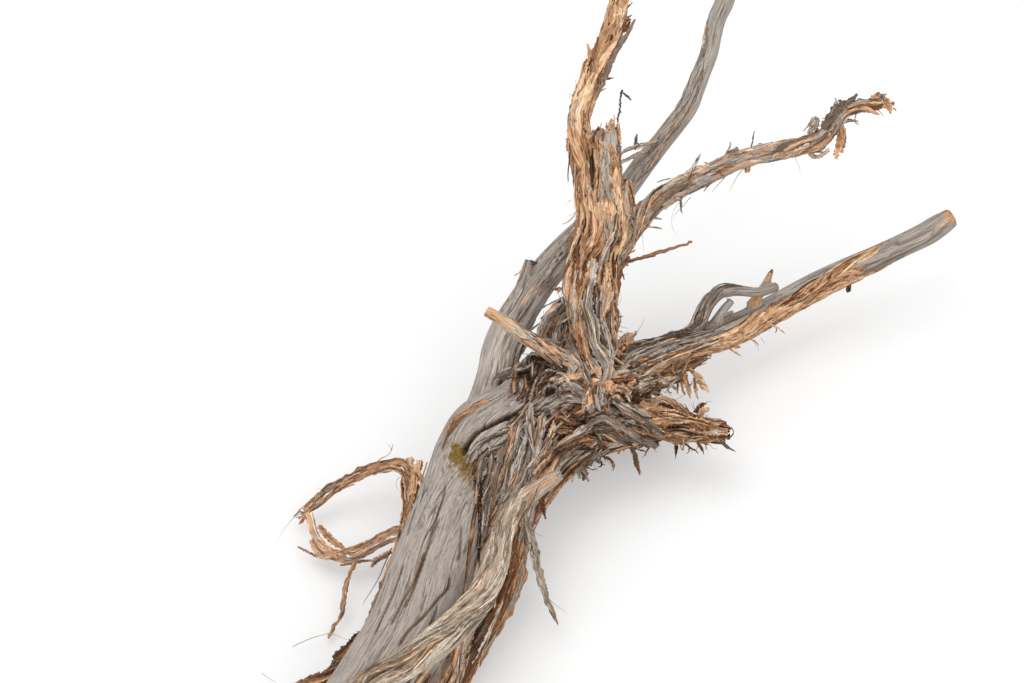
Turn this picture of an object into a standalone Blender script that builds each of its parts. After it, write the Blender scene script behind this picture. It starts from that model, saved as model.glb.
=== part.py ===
"""A weathered, many-armed piece of driftwood, lying on its trunk.

One grown piece of wood, so one solid. Every limb is a tapering round run of wood
along a smooth centreline, and all limbs are fused into one skin. The underside is
worn flat where the piece rests: along the trunk and on two short root feet.

Units are metres; the limb lists are in millimetres. +Z is up, the trunk runs
towards -Y, and the origin is on the ground under the middle of the whole piece.
"""

import bpy
import bmesh
from mathutils import Vector

MM = 0.001

SKIN_VOXEL = 2.5 * MM  # grid on which the limbs are fused
SKIN_SMOOTHING = 3  # passes that soften the crotches between limbs
SKIN_SHARE = 0.042  # share of the fused skin's triangles that is kept
POINTS_PER_SPAN = 4  # centreline points between two listed ones
RING_RESOLUTION = 3  # gives 10 sides round a limb
GROUND_BLOCK = 1.2  # side of the block that wears the underside flat

WEATHERED_GREY = (0.33, 0.30, 0.26, 1.0)
WOOD_ROUGHNESS = 0.85

# Centreline points of each limb: x, y, z and radius, in millimetres.
LIMBS = {
    "trunk": (
        (-283, -443, 34, 9), (-281, -421, 37, 19), (-272, -381, 40, 28), (-255, -332, 42, 34),
        (-222, -277, 44, 37), (-194, -220, 46, 38), (-175, -149, 48, 37), (-154, -90, 54, 33),
        (-118, -43, 66, 33), (-81, -18, 78, 35),
    ),
    "trunk_low": (
        (-257, -439, 26, 4.7), (-252, -414, 28, 12), (-242, -377, 29, 22), (-217, -328, 31, 33),
        (-186, -256, 27, 30), (-161, -196, 30, 23), (-135, -137, 38, 23), (-107, -78, 52, 27),
        (-72, -34, 70, 35),
    ),
    "ridge": (
        (-183, -124, 60, 17), (-174, -85, 68, 16), (-165, -56, 76, 15), (-150, -31, 84, 14),
        (-124, -18, 92, 12), (-103, 0, 98, 11), (-84, 15, 104, 11),
    ),
    "left_branch": (
        (-163, -52, 62, 16), (-142, -15, 70, 15), (-130, 18, 78, 16), (-125, 43, 84, 16),
        (-117, 66, 88, 16), (-102, 91, 96, 16), (-91, 110, 100, 15), (-74, 130, 108, 15),
        (-54, 150, 116, 15), (-32, 172, 124, 13), (-11, 195, 134, 11), (7, 217, 146, 11),
        (22, 233, 156, 10), (34, 246, 164, 10), (48, 262, 174, 10), (55, 277, 182, 9),
        (62, 293, 190, 9), (69, 310, 197, 9), (73, 328, 203, 9), (78, 346, 209, 9), (86, 363, 216, 9),
        (96, 398, 228, 8), (104, 442, 240, 7.1),
    ),
    "knot": (
        (-105, -13, 74, 32), (-75, -3, 84, 41), (-43, 0, 86, 35), (-22, 3, 80, 27),
    ),
    "knot_low": (
        (-98, -31, 52, 28), (-66, -25, 58, 33), (-33, -22, 60, 24), (-6, -20, 58, 18),
    ),
    "stem": (
        (-59, -9, 88, 25), (-45, 22, 110, 21), (-44, 42, 132, 22), (-45, 63, 152, 22),
        (-40, 84, 168, 22), (-35, 103, 180, 22), (-32, 120, 194, 20),
    ),
    "brown": (
        (-37, 99, 182, 14), (-44, 122, 198, 12), (-50, 146, 212, 11), (-54, 161, 228, 10),
        (-55, 175, 242, 9), (-51, 192, 252, 9), (-42, 210, 264, 10), (-33, 226, 276, 10),
        (-26, 241, 288, 9), (-21, 260, 297, 8), (-17, 274, 308, 8), (-11, 302, 324, 8),
        (-7, 333, 338, 6.7),
    ),
    "stub_mid": (
        (-32, 92, 186, 13), (-31, 115, 206, 10), (-30, 133, 222, 10), (-31, 149, 236, 11),
        (-32, 161, 244, 10),
    ),
    "stub_right": (
        (-17, 95, 176, 10), (-15, 112, 190, 7.9), (-13, 127, 200, 6.2), (-12, 137, 206, 3.5),
    ),
    "upper_right": (
        (-31, 81, 168, 13), (-14, 98, 178, 10), (2, 115, 187, 9), (17, 129, 192, 9), (36, 140, 197, 8),
        (56, 147, 202, 7.9), (76, 157, 206, 7.7), (93, 162, 210, 7.4), (116, 166, 214, 7.4),
        (139, 166, 220, 6.9), (156, 168, 224, 6.4), (168, 179, 229, 5.8), (179, 193, 235, 5.3),
        (194, 197, 240, 5), (206, 195, 242, 4.4), (214, 196, 244, 3.7),
    ),
    "right_branch": (
        (-47, 2, 84, 25), (-18, 30, 78, 20), (8, 48, 69, 17), (35, 65, 62, 15), (58, 79, 57, 15),
        (79, 91, 53, 14), (102, 106, 50, 14), (125, 122, 50, 13), (150, 137, 52, 13),
        (175, 150, 57, 12), (201, 161, 63, 12), (226, 171, 68, 12), (249, 181, 73, 11),
        (272, 192, 77, 11), (286, 202, 79, 11), (298, 210, 81, 9),
    ),
    "right_low": (
        (-36, 12, 66, 18), (-6, 26, 60, 11), (19, 34, 54, 7.2), (40, 45, 49, 5.4),
    ),
    "stub_low_right": (
        (-54, -13, 64, 24), (-25, -10, 62, 18), (4, -11, 58, 15), (35, -18, 56, 13), (56, -23, 56, 10),
        (76, -23, 56, 8),
    ),
    "lump": (
        (-64, 65, 130, 6.2), (-72, 54, 126, 9), (-78, 41, 120, 11), (-79, 27, 112, 12),
        (-72, 14, 100, 13),
    ),
    "hook": (
        (52, 79, 64, 7.3), (59, 94, 74, 6.7), (66, 104, 82, 6.2), (75, 110, 88, 5.6),
        (85, 113, 88, 4.9), (96, 114, 86, 4.6), (111, 118, 80, 4.6), (129, 131, 72, 4.6),
    ),
    "hook_twig": (
        (72, 94, 66, 4.6), (79, 100, 76, 3.9), (86, 104, 84, 3.3),
    ),
    "cross_twig": (
        (-43, -32, 98, 12), (-48, -21, 106, 10), (-55, -11, 114, 9), (-66, -3, 124, 7.8),
        (-84, 3, 134, 6.9), (-104, 13, 142, 6.1), (-120, 24, 148, 5.4), (-136, 33, 152, 4.5),
    ),
    "end_left": (
        (-270, -335, 58, 16), (-281, -383, 56, 12), (-293, -415, 50, 6.3), (-296, -431, 47, 2.7),
    ),
    "end_top": (
        (-247, -348, 72, 13), (-258, -389, 66, 10), (-262, -417, 60, 6.2), (-263, -433, 56, 2.7),
    ),
    "end_right": (
        (-211, -333, 48, 13), (-222, -377, 44, 10), (-228, -403, 40, 5.5), (-230, -415, 37, 2.4),
    ),
    "cream": (
        (-259, -330, 74, 9), (-235, -305, 78, 12), (-201, -282, 80, 13), (-173, -259, 80, 13),
        (-145, -224, 80, 12), (-131, -191, 82, 11), (-122, -158, 86, 9), (-112, -135, 92, 8),
        (-95, -121, 98, 7.6), (-80, -111, 102, 6.8), (-72, -108, 104, 4.2),
    ),
    "bundle": (
        (-177, -289, 28, 8), (-161, -241, 31, 7.5), (-149, -217, 34, 7.6), (-134, -182, 42, 10),
        (-120, -142, 48, 15), (-107, -105, 56, 19), (-85, -61, 62, 22),
    ),
    "sliver": (
        (-112, -113, 62, 5.2), (-104, -130, 50, 4.3), (-96, -148, 38, 3.9), (-87, -173, 22, 3.4),
        (-80, -194, 12, 2.2),
    ),
    "stub_left": (
        (-105, 98, 106, 6.3), (-101, 110, 114, 4.5), (-99, 120, 120, 3.2),
    ),
    "splinter_up": (
        (107, 119, 60, 5.5), (114, 124, 70, 4.1), (120, 131, 78, 3.7), (124, 138, 84, 2.3),
    ),
    "peel_top": (
        (-201, -110, 40, 6.1), (-201, -82, 46, 7), (-202, -63, 50, 6.1), (-212, -55, 50, 4.4),
        (-234, -55, 44, 4.4), (-257, -63, 36, 4), (-279, -75, 26, 3.1), (-301, -84, 16, 2.2),
    ),
    "peel_low": (
        (-204, -129, 30, 5.2), (-218, -117, 30, 3.5), (-239, -127, 26, 3.5), (-259, -134, 20, 3.9),
        (-280, -122, 18, 3.9), (-289, -104, 20, 3.1), (-294, -88, 22, 2.2),
    ),
    "foot_right": (
        (-40, -2, 58, 27), (-18, 20, 36, 22), (-3, 38, 16, 17), (4, 46, 3, 14),
    ),
    "foot_back": (
        (-114, 2, 58, 22), (-123, 26, 34, 18), (-129, 42, 15, 14), (-132, 49, 3, 12),
    ),
}


def clear_scene():
    for obj in list(bpy.data.objects):
        bpy.data.objects.remove(obj, do_unlink=True)


def between(a, b, c, d, t):
    """The point at share t of the smooth curve from b to c, which a and d bend."""
    return 0.5 * (
        2 * b + (c - a) * t + (2 * a - 5 * b + 4 * c - d) * t**2 + (3 * b - a - 3 * c + d) * t**3
    )


def centreline(listed):
    """Points and radii of a limb, in metres, with POINTS_PER_SPAN steps from one listed point to the next."""
    rows = [Vector(row) * MM for row in listed]
    rows = [2 * rows[0] - rows[1], *rows, 2 * rows[-1] - rows[-2]]
    line = []
    for a, b, c, d in zip(rows, rows[1:], rows[2:], rows[3:]):
        line += [between(a, b, c, d, step / POINTS_PER_SPAN) for step in range(POINTS_PER_SPAN)]
    return [*line, rows[-2]]


def limb_curve(name, listed):
    """A round limb with closed ends, as a curve with a radius at each point."""
    curve = bpy.data.curves.new(name, "CURVE")
    curve.dimensions = "3D"
    curve.bevel_depth = 1.0
    curve.bevel_resolution = RING_RESOLUTION
    curve.use_fill_caps = True
    line = centreline(listed)
    spline = curve.splines.new("POLY")
    spline.points.add(len(line) - 1)
    for point, (x, y, z, radius) in zip(spline.points, line):
        point.co = (x, y, z, 1.0)
        point.radius = radius
    obj = bpy.data.objects.new(name, curve)
    bpy.context.collection.objects.link(obj)
    return obj


def joined_limbs(name):
    """One mesh object that holds every limb's tube, still crossing each other."""
    tubes = [limb_curve(limb, listed) for limb, listed in LIMBS.items()]
    graph = bpy.context.evaluated_depsgraph_get()
    joined = bmesh.new()
    for tube in tubes:
        shape = bpy.data.meshes.new_from_object(tube.evaluated_get(graph))
        joined.from_mesh(shape)
        bpy.data.meshes.remove(shape)
    bmesh.ops.remove_doubles(joined, verts=joined.verts, dist=0.01 * MM)
    mesh = bpy.data.meshes.new(name)
    joined.to_mesh(mesh)
    joined.free()
    for tube in tubes:
        bpy.data.objects.remove(tube, do_unlink=True)
    obj = bpy.data.objects.new(name, mesh)
    bpy.context.collection.objects.link(obj)
    return obj


def ground_block():
    """The block under z = 0 that takes off what would reach below the ground."""
    mesh = bpy.data.meshes.new("ground_block")
    block = bmesh.new()
    bmesh.ops.create_cube(block, size=GROUND_BLOCK)
    bmesh.ops.translate(block, verts=block.verts, vec=(0, 0, -GROUND_BLOCK / 2))
    block.to_mesh(mesh)
    block.free()
    obj = bpy.data.objects.new("ground_block", mesh)
    obj.hide_render = True
    obj.display_type = "WIRE"
    bpy.context.collection.objects.link(obj)
    return obj


def fuse(obj):
    """Fuses the crossing tubes into one skin, softens it and wears its underside flat."""
    skin = obj.modifiers.new("skin", "REMESH")
    skin.mode = "VOXEL"
    skin.voxel_size = SKIN_VOXEL
    skin.use_smooth_shade = True
    soften = obj.modifiers.new("soften", "SMOOTH")
    soften.factor = 0.5
    soften.iterations = SKIN_SMOOTHING
    reduce = obj.modifiers.new("reduce", "DECIMATE")
    reduce.ratio = SKIN_SHARE
    wear = obj.modifiers.new("wear", "BOOLEAN")
    wear.operation = "DIFFERENCE"
    wear.object = ground_block()


def weathered_wood():
    material = bpy.data.materials.new("weathered_wood")
    material.use_nodes = True
    shader = material.node_tree.nodes["Principled BSDF"]
    shader.inputs["Base Color"].default_value = WEATHERED_GREY
    shader.inputs["Roughness"].default_value = WOOD_ROUGHNESS
    shader.inputs["Metallic"].default_value = 0.0
    return material


def main():
    clear_scene()
    driftwood = joined_limbs("driftwood")
    fuse(driftwood)
    driftwood.data.materials.append(weathered_wood())


main()
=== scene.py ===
"""Looks of the piece of driftwood: one weathered skin, thousands of bark shreds, loose ribbons and hairs.

The skin is fused from the same limbs as the CAD node, then carved with grain, cracks and torn bark.
Lists of places are in millimetres, as x, y, z and a radius or width; everything built is in metres.
"""

import math
from collections import namedtuple

import bpy
import numpy as np
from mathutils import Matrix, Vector


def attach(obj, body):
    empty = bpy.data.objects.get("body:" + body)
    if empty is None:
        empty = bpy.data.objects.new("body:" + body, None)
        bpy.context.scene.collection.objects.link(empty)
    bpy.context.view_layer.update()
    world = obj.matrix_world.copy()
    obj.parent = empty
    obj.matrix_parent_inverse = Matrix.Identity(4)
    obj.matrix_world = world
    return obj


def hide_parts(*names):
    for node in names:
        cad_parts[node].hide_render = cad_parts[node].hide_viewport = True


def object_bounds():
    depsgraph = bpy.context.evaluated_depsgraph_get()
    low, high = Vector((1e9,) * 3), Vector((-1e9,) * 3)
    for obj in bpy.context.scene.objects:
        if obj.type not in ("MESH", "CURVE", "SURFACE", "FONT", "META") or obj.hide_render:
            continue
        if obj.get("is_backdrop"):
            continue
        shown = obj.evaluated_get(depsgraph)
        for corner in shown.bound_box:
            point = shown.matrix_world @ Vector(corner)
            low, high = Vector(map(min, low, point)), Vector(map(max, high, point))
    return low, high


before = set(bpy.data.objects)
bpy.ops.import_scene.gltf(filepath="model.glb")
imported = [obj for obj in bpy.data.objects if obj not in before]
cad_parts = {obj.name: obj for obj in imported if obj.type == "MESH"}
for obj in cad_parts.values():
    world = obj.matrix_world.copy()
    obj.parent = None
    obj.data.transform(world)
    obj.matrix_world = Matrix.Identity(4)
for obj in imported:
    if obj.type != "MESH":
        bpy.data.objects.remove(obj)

MM = 0.001
CAD_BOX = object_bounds()
BODY = "root"

SKIN_VOXEL = 1.5 * MM  # grid on which the limbs are fused
SAMPLE_STEP = 4 * MM  # spacing of the samples along a limb's centreline
THINNEST = 1 * MM  # least radius of a limb
BLUNT_END = 0.3  # how far a limb's end bulges past its last point, in radii
CREST = np.array([0.0, -0.643, 0.766])  # the side that faces up and forward, angle 0 round every limb
GROUND = 0.0

# Limbs of solid wood, centreline points as x, y, z and radius.
LIMBS = {
    "trunk": (
        (-283, -443, 34, 9.4), (-281, -421, 37, 18.9), (-272, -381, 40, 27.9),
        (-255, -332, 42, 33.9), (-222, -277, 44, 37), (-194, -220, 46, 38.1),
        (-175, -149, 48, 36.8), (-154, -90, 54, 33), (-118, -43, 66, 33.3), (-81, -18, 78, 35.2),
    ),
    "trunk_low": (
        (-257, -439, 26, 4.7), (-252, -414, 28, 11.9), (-242, -377, 29, 22.4),
        (-217, -328, 31, 32.5), (-186, -256, 27, 30), (-161, -196, 30, 22.9),
        (-135, -137, 38, 23.3), (-107, -78, 52, 27), (-72, -34, 70, 35.1),
    ),
    "ridge": (
        (-183, -124, 60, 17.2), (-174, -85, 68, 15.6), (-165, -56, 76, 14.8), (-150, -31, 84, 14),
        (-124, -18, 92, 12.3), (-103, 0, 98, 11.4), (-84, 15, 104, 10.6),
    ),
    "left_branch": (
        (-163, -52, 62, 15.8), (-142, -15, 70, 15), (-130, 18, 78, 15.6), (-125, 43, 84, 16.1),
        (-117, 66, 88, 16.2), (-102, 91, 96, 15.8), (-91, 110, 100, 15.4), (-74, 130, 108, 15),
        (-54, 150, 116, 14.6), (-32, 172, 124, 12.8), (-11, 195, 134, 11), (7, 217, 146, 10.6),
        (22, 233, 156, 9.7), (34, 246, 164, 9.7), (48, 262, 174, 9.5), (55, 277, 182, 9.3),
        (62, 293, 190, 8.8), (69, 310, 197, 8.7), (73, 328, 203, 8.8), (78, 346, 209, 8.8),
        (86, 363, 216, 9.1), (96, 398, 228, 8.5), (104, 442, 240, 7.1),
    ),
    "knot": (
        (-105, -13, 74, 31.8), (-75, -3, 84, 40.6), (-43, 0, 86, 35.3), (-22, 3, 80, 26.6),
    ),
    "knot_low": (
        (-98, -31, 52, 28.3), (-66, -25, 58, 32.7), (-33, -22, 60, 23.9), (-6, -20, 58, 17.7),
    ),
    "stem": (
        (-59, -9, 88, 24.6), (-45, 22, 110, 21.1), (-44, 42, 132, 21.5), (-45, 63, 152, 22),
        (-40, 84, 168, 22), (-35, 103, 180, 21.6), (-32, 120, 194, 19.8),
    ),
    "brown": (
        (-37, 99, 182, 14.1), (-44, 122, 198, 11.9), (-50, 146, 212, 10.6), (-54, 161, 228, 10.1),
        (-55, 175, 242, 9.2), (-51, 192, 252, 9.3), (-42, 210, 264, 9.9), (-33, 226, 276, 10.1),
        (-26, 241, 288, 8.8), (-21, 260, 297, 8.1), (-17, 274, 308, 8.3), (-11, 302, 324, 8),
        (-7, 333, 338, 6.7),
    ),
    "stub_mid": (
        (-32, 92, 186, 13.1), (-31, 115, 206, 10.5), (-30, 133, 222, 10.1), (-31, 149, 236, 10.9),
        (-32, 161, 244, 9.6),
    ),
    "stub_right": (
        (-17, 95, 176, 9.7), (-15, 112, 190, 7.9), (-13, 127, 200, 6.2), (-12, 137, 206, 3.5),
    ),
    "upper_right": (
        (-31, 81, 168, 13.2), (-14, 98, 178, 10.1), (2, 115, 187, 9.2), (17, 129, 192, 8.8),
        (36, 140, 197, 8.4), (56, 147, 202, 7.9), (76, 157, 206, 7.7), (93, 162, 210, 7.4),
        (116, 166, 214, 7.4), (139, 166, 220, 6.9), (156, 168, 224, 6.4), (168, 179, 229, 5.8),
        (179, 193, 235, 5.3), (194, 197, 240, 5), (206, 195, 242, 4.4), (214, 196, 244, 3.7),
    ),
    "right_branch": (
        (-47, 2, 84, 24.7), (-18, 30, 78, 19.6), (8, 48, 69, 17.1), (35, 65, 62, 15.4),
        (58, 79, 57, 14.6), (79, 91, 53, 14.2), (102, 106, 50, 13.8), (125, 122, 50, 13),
        (150, 137, 52, 12.6), (175, 150, 57, 12.4), (201, 161, 63, 11.9), (226, 171, 68, 11.6),
        (249, 181, 73, 11), (272, 192, 77, 11.2), (286, 202, 79, 11.1), (298, 210, 81, 9.2),
    ),
    "right_low": (
        (-36, 12, 66, 17.8), (-6, 26, 60, 10.8), (19, 34, 54, 7.2), (40, 45, 49, 5.4),
    ),
    "stub_low_right": (
        (-54, -13, 64, 23.9), (-25, -10, 62, 17.7), (4, -11, 58, 15.1), (35, -18, 56, 12.9),
        (56, -23, 56, 10.2), (76, -23, 56, 8),
    ),
    "lump": (
        (-64, 65, 130, 6.2), (-72, 54, 126, 8.8), (-78, 41, 120, 11.5), (-79, 27, 112, 12.3),
        (-72, 14, 100, 13.2),
    ),
    "hook": (
        (52, 79, 64, 7.3), (59, 94, 74, 6.7), (66, 104, 82, 6.2), (75, 110, 88, 5.6),
        (85, 113, 88, 4.9), (96, 114, 86, 4.6), (111, 118, 80, 4.6), (129, 131, 72, 4.6),
    ),
    "hook_twig": (
        (72, 94, 66, 4.6), (79, 100, 76, 3.9), (86, 104, 84, 3.3),
    ),
    "cross_twig": (
        (-43, -32, 98, 12.2), (-48, -21, 106, 10.4), (-55, -11, 114, 9.1), (-66, -3, 124, 7.8),
        (-84, 3, 134, 6.9), (-104, 13, 142, 6.1), (-120, 24, 148, 5.4), (-136, 33, 152, 4.5),
    ),
    "end_left": (
        (-270, -335, 58, 16), (-281, -383, 56, 11.8), (-293, -415, 50, 6.3), (-296, -431, 47, 2.7),
    ),
    "end_top": (
        (-247, -348, 72, 12.7), (-258, -389, 66, 10.2), (-262, -417, 60, 6.2),
        (-263, -433, 56, 2.7),
    ),
    "end_right": (
        (-211, -333, 48, 12.9), (-222, -377, 44, 9.5), (-228, -403, 40, 5.5),
        (-230, -415, 37, 2.4),
    ),
    "cream": (
        (-259, -330, 74, 8.8), (-235, -305, 78, 11.7), (-201, -282, 80, 12.5),
        (-173, -259, 80, 12.6), (-145, -224, 80, 12), (-131, -191, 82, 10.8),
        (-122, -158, 86, 8.8), (-112, -135, 92, 8), (-95, -121, 98, 7.6), (-80, -111, 102, 6.8),
        (-72, -108, 104, 4.2),
    ),
    "bundle": (
        (-177, -289, 28, 8.2), (-161, -241, 31, 7.5), (-149, -217, 34, 7.6),
        (-134, -182, 42, 10.2), (-120, -142, 48, 15.4), (-107, -105, 56, 19), (-85, -61, 62, 21.8),
    ),
    "stub_left": (
        (-105, 98, 106, 6.3), (-101, 110, 114, 4.5), (-99, 120, 120, 3.2),
    ),
    "splinter_up": (
        (107, 119, 60, 5.5), (114, 124, 70, 4.1), (120, 131, 78, 3.7), (124, 138, 84, 2.3),
    ),
    "foot_right": (
        (-40, -2, 58, 27), (-18, 20, 36, 22), (-3, 38, 16, 17), (4, 46, 3, 14),
    ),
    "foot_back": (
        (-114, 2, 58, 22), (-123, 26, 34, 18), (-129, 42, 15, 14), (-132, 49, 3, 12),
    ),
}

# Limbs of one group flow into each other over the group's distance; groups meet more sharply.
GROUPS = {
    "trunk": (5 * MM, ("trunk", "left_branch", "end_left", "end_top", "end_right")),
    "ridge": (2 * MM, ("ridge",)),
    "root": (3 * MM, (
        "trunk_low", "bundle", "knot", "knot_low", "foot_right", "foot_back", "stub_low_right",
    )),
    "fork": (3 * MM, (
        "stem", "brown", "stub_mid", "stub_right", "upper_right", "right_branch", "right_low", "lump",
    )),
    "twigs": (1.5 * MM, ("cream", "hook", "hook_twig", "cross_twig", "stub_left", "splinter_up")),
}
GROUP_BLEND = 1.5 * MM  # distance over which the groups flow into each other

# Coats of clinging bark and fibre: limb, count, where along it, angles round it, lengths, widths,
# rise, share that peels away at one end, then (bark, cream, dark) and how much that varies.
SHREDS = [
    ("trunk_low", 80, (0.1, 1.0), (-20, 130), (60, 170), (4, 10), 1.6, 0.05, (0.45, 0.05, 0.4), 0.6),
    ("bundle", 110, (0.0, 1.0), (-120, 120), (60, 170), (4, 10), 1.8, 0.06, (0.4, 0.1, 0.35), 0.6),
    ("knot", 230, (0.0, 1.0), (-170, 170), (25, 80), (2.5, 8), 2.2, 0.12, (0.15, 0.0, 0.68), 0.5),
    ("knot_low", 200, (0.0, 1.0), (-170, 170), (30, 90), (3, 9), 2.2, 0.14, (0.3, 0.0, 0.64), 0.5),
    ("stem", 125, (0.0, 0.95), (-180, 180), (50, 130), (5, 15), 2.2, 0.05, (0.62, 0.0, 0.46), 0.6),
    ("lump", 40, (0.0, 0.9), (-180, 180), (15, 45), (3, 6), 1.6, 0.2, (0.05, 0.0, 0.55), 0.3),
    ("brown", 100, (0.0, 0.86), (-180, 180), (35, 120), (5, 14), 1.4, 0.05, (0.9, 0.15, 0.05), 0.35),
    ("stub_mid", 40, (0.0, 0.8), (-180, 180), (20, 60), (4, 10), 1.2, 0.06, (0.7, 0.4, 0.0), 0.5),
    ("stub_right", 26, (0.0, 0.8), (-180, 180), (15, 40), (3, 7), 1.2, 0.15, (0.75, 0.15, 0.05), 0.3),
    ("upper_right", 140, (0.0, 0.94), (-180, 180), (20, 80), (2.5, 7), 1.0, 0.12, (0.35, 0.1, 0.1), 0.6),
    ("right_branch", 60, (0.05, 0.4), (-180, -20), (40, 110), (4, 9), 1.4, 0.04, (0.1, 0.05, 0.38), 0.4),
    ("right_branch", 80, (0.1, 0.72), (-10, 150), (35, 120), (4, 11), 1.3, 0.06, (0.9, 0.1, 0.12), 0.4),
    ("right_low", 36, (0.1, 0.9), (-120, 120), (25, 60), (3, 7), 1.4, 0.2, (0.5, 0.1, 0.2), 0.6),
    ("stub_low_right", 110, (0.1, 0.9), (-180, 180), (30, 90), (3, 10), 2.0, 0.1, (0.75, 0.0, 0.42), 0.5),
    ("left_branch", 26, (0.25, 0.8), (-60, 60), (25, 80), (2.5, 6), 0.5, 0.0, (0.15, 0.1, 0.1), 0.35),
    ("cream", 46, (0.0, 0.95), (-120, 120), (60, 180), (4, 12), 0.9, 0.02, (0.0, 0.9, 0.0), 0.8),
    ("foot_right", 36, (0.0, 0.9), (-180, 180), (15, 50), (3, 7), 1.3, 0.1, (0.4, 0.1, 0.3), 0.4),
    ("foot_back", 36, (0.0, 0.9), (-180, 180), (15, 50), (3, 7), 1.3, 0.1, (0.3, 0.1, 0.3), 0.4),
    ("trunk", 70, (-0.02, 0.15), (-180, 180), (25, 90), (4, 12), 1.4, 0.05, (0.12, 0.1, 0.22), 0.4),
]

# Curled shavings: limb, count, where along it, angles round it, lengths, widths, bend per step,
# then (bark, cream, dark) and how much that varies.
CURLS = [
    ("knot", 60, (-0.1, 1.0), (-120, 120), (8, 26), (1.0, 2.6), 0.24, (0.1, 0.3, 0.1), 0.4),
    ("knot_low", 50, (-0.1, 1.0), (-20, 170), (8, 26), (1.2, 3.5), 0.20, (0.45, 0.15, 0.25), 0.5),
    ("stem", 30, (0.0, 1.0), (-150, 150), (8, 24), (1.0, 2.6), 0.16, (0.45, 0.3, 0.1), 0.5),
    ("lump", 16, (0.0, 0.9), (-170, 170), (8, 20), (1.0, 2.4), 0.14, (0.1, 0.1, 0.3), 0.3),
    ("right_branch", 26, (0.1, 0.6), (20, 150), (8, 24), (1.0, 3.0), 0.14, (0.75, 0.25, 0.1), 0.4),
    ("right_low", 36, (0.2, 1.0), (-120, 150), (10, 34), (1.0, 2.6), 0.18, (0.6, 0.2, 0.2), 0.5),
    ("stub_low_right", 40, (0.2, 0.95), (20, 200), (10, 30), (1.2, 3.4), 0.18, (0.65, 0.2, 0.25), 0.5),
    ("brown", 22, (0.0, 0.85), (-170, 170), (6, 16), (1.0, 2.6), 0.1, (0.85, 0.3, 0.1), 0.3),
    ("upper_right", 30, (0.0, 0.95), (-170, 170), (6, 18), (0.8, 2.2), 0.12, (0.4, 0.2, 0.25), 0.5),
]

# Fields of fine hairs: limb, count, where along it, angles round it, lengths.
HAIR_FIELDS = [
    ("knot", 110, (0.0, 1.0), (-150, 150), (8, 24)),
    ("knot_low", 90, (0.0, 1.0), (-60, 180), (8, 26)),
    ("stem", 90, (0.0, 1.0), (-180, 180), (6, 20)),
    ("brown", 40, (0.0, 0.9), (-180, 180), (4, 12)),
    ("upper_right", 50, (0.0, 0.95), (-180, 180), (4, 12)),
    ("right_branch", 60, (0.05, 0.7), (0, 180), (5, 16)),
    ("stub_low_right", 60, (0.2, 0.95), (-180, 180), (5, 16)),
    ("right_low", 30, (0.2, 1.0), (-180, 180), (8, 20)),
    ("bundle", 30, (0.1, 1.0), (-120, 120), (6, 18)),
]

# The moss patch: x, y, z and size.
MOSS = [
    (-163, -67, 88, 9),
    (-161, -74, 86, 12),
    (-157, -82, 87, 13),
    (-153, -91, 87, 12),
    (-150, -98, 86, 10),
    (-147, -106, 83, 7),
]

# Hollows, carved in and painted dark as shade: x, y, z, size and depth.
HOLLOWS = [
    (-83, -27, 114, 4, 6),
    (-98, -14, 116, 5, 6),
    (-85, -43, 102, 4, 6),
    (-72, -46, 102, 5, 6),
    (-59, -39, 101, 4, 6),
    (-37, -32, 96, 4, 6),
    (-66, 30, 113, 6, 8),
    (-17, 20, 104, 4, 7),
    (-1, 15, 91, 5, 7),
    (-19, -26, 81, 4, 6),
    (-72, -12, 123, 5, 5),
]
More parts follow.
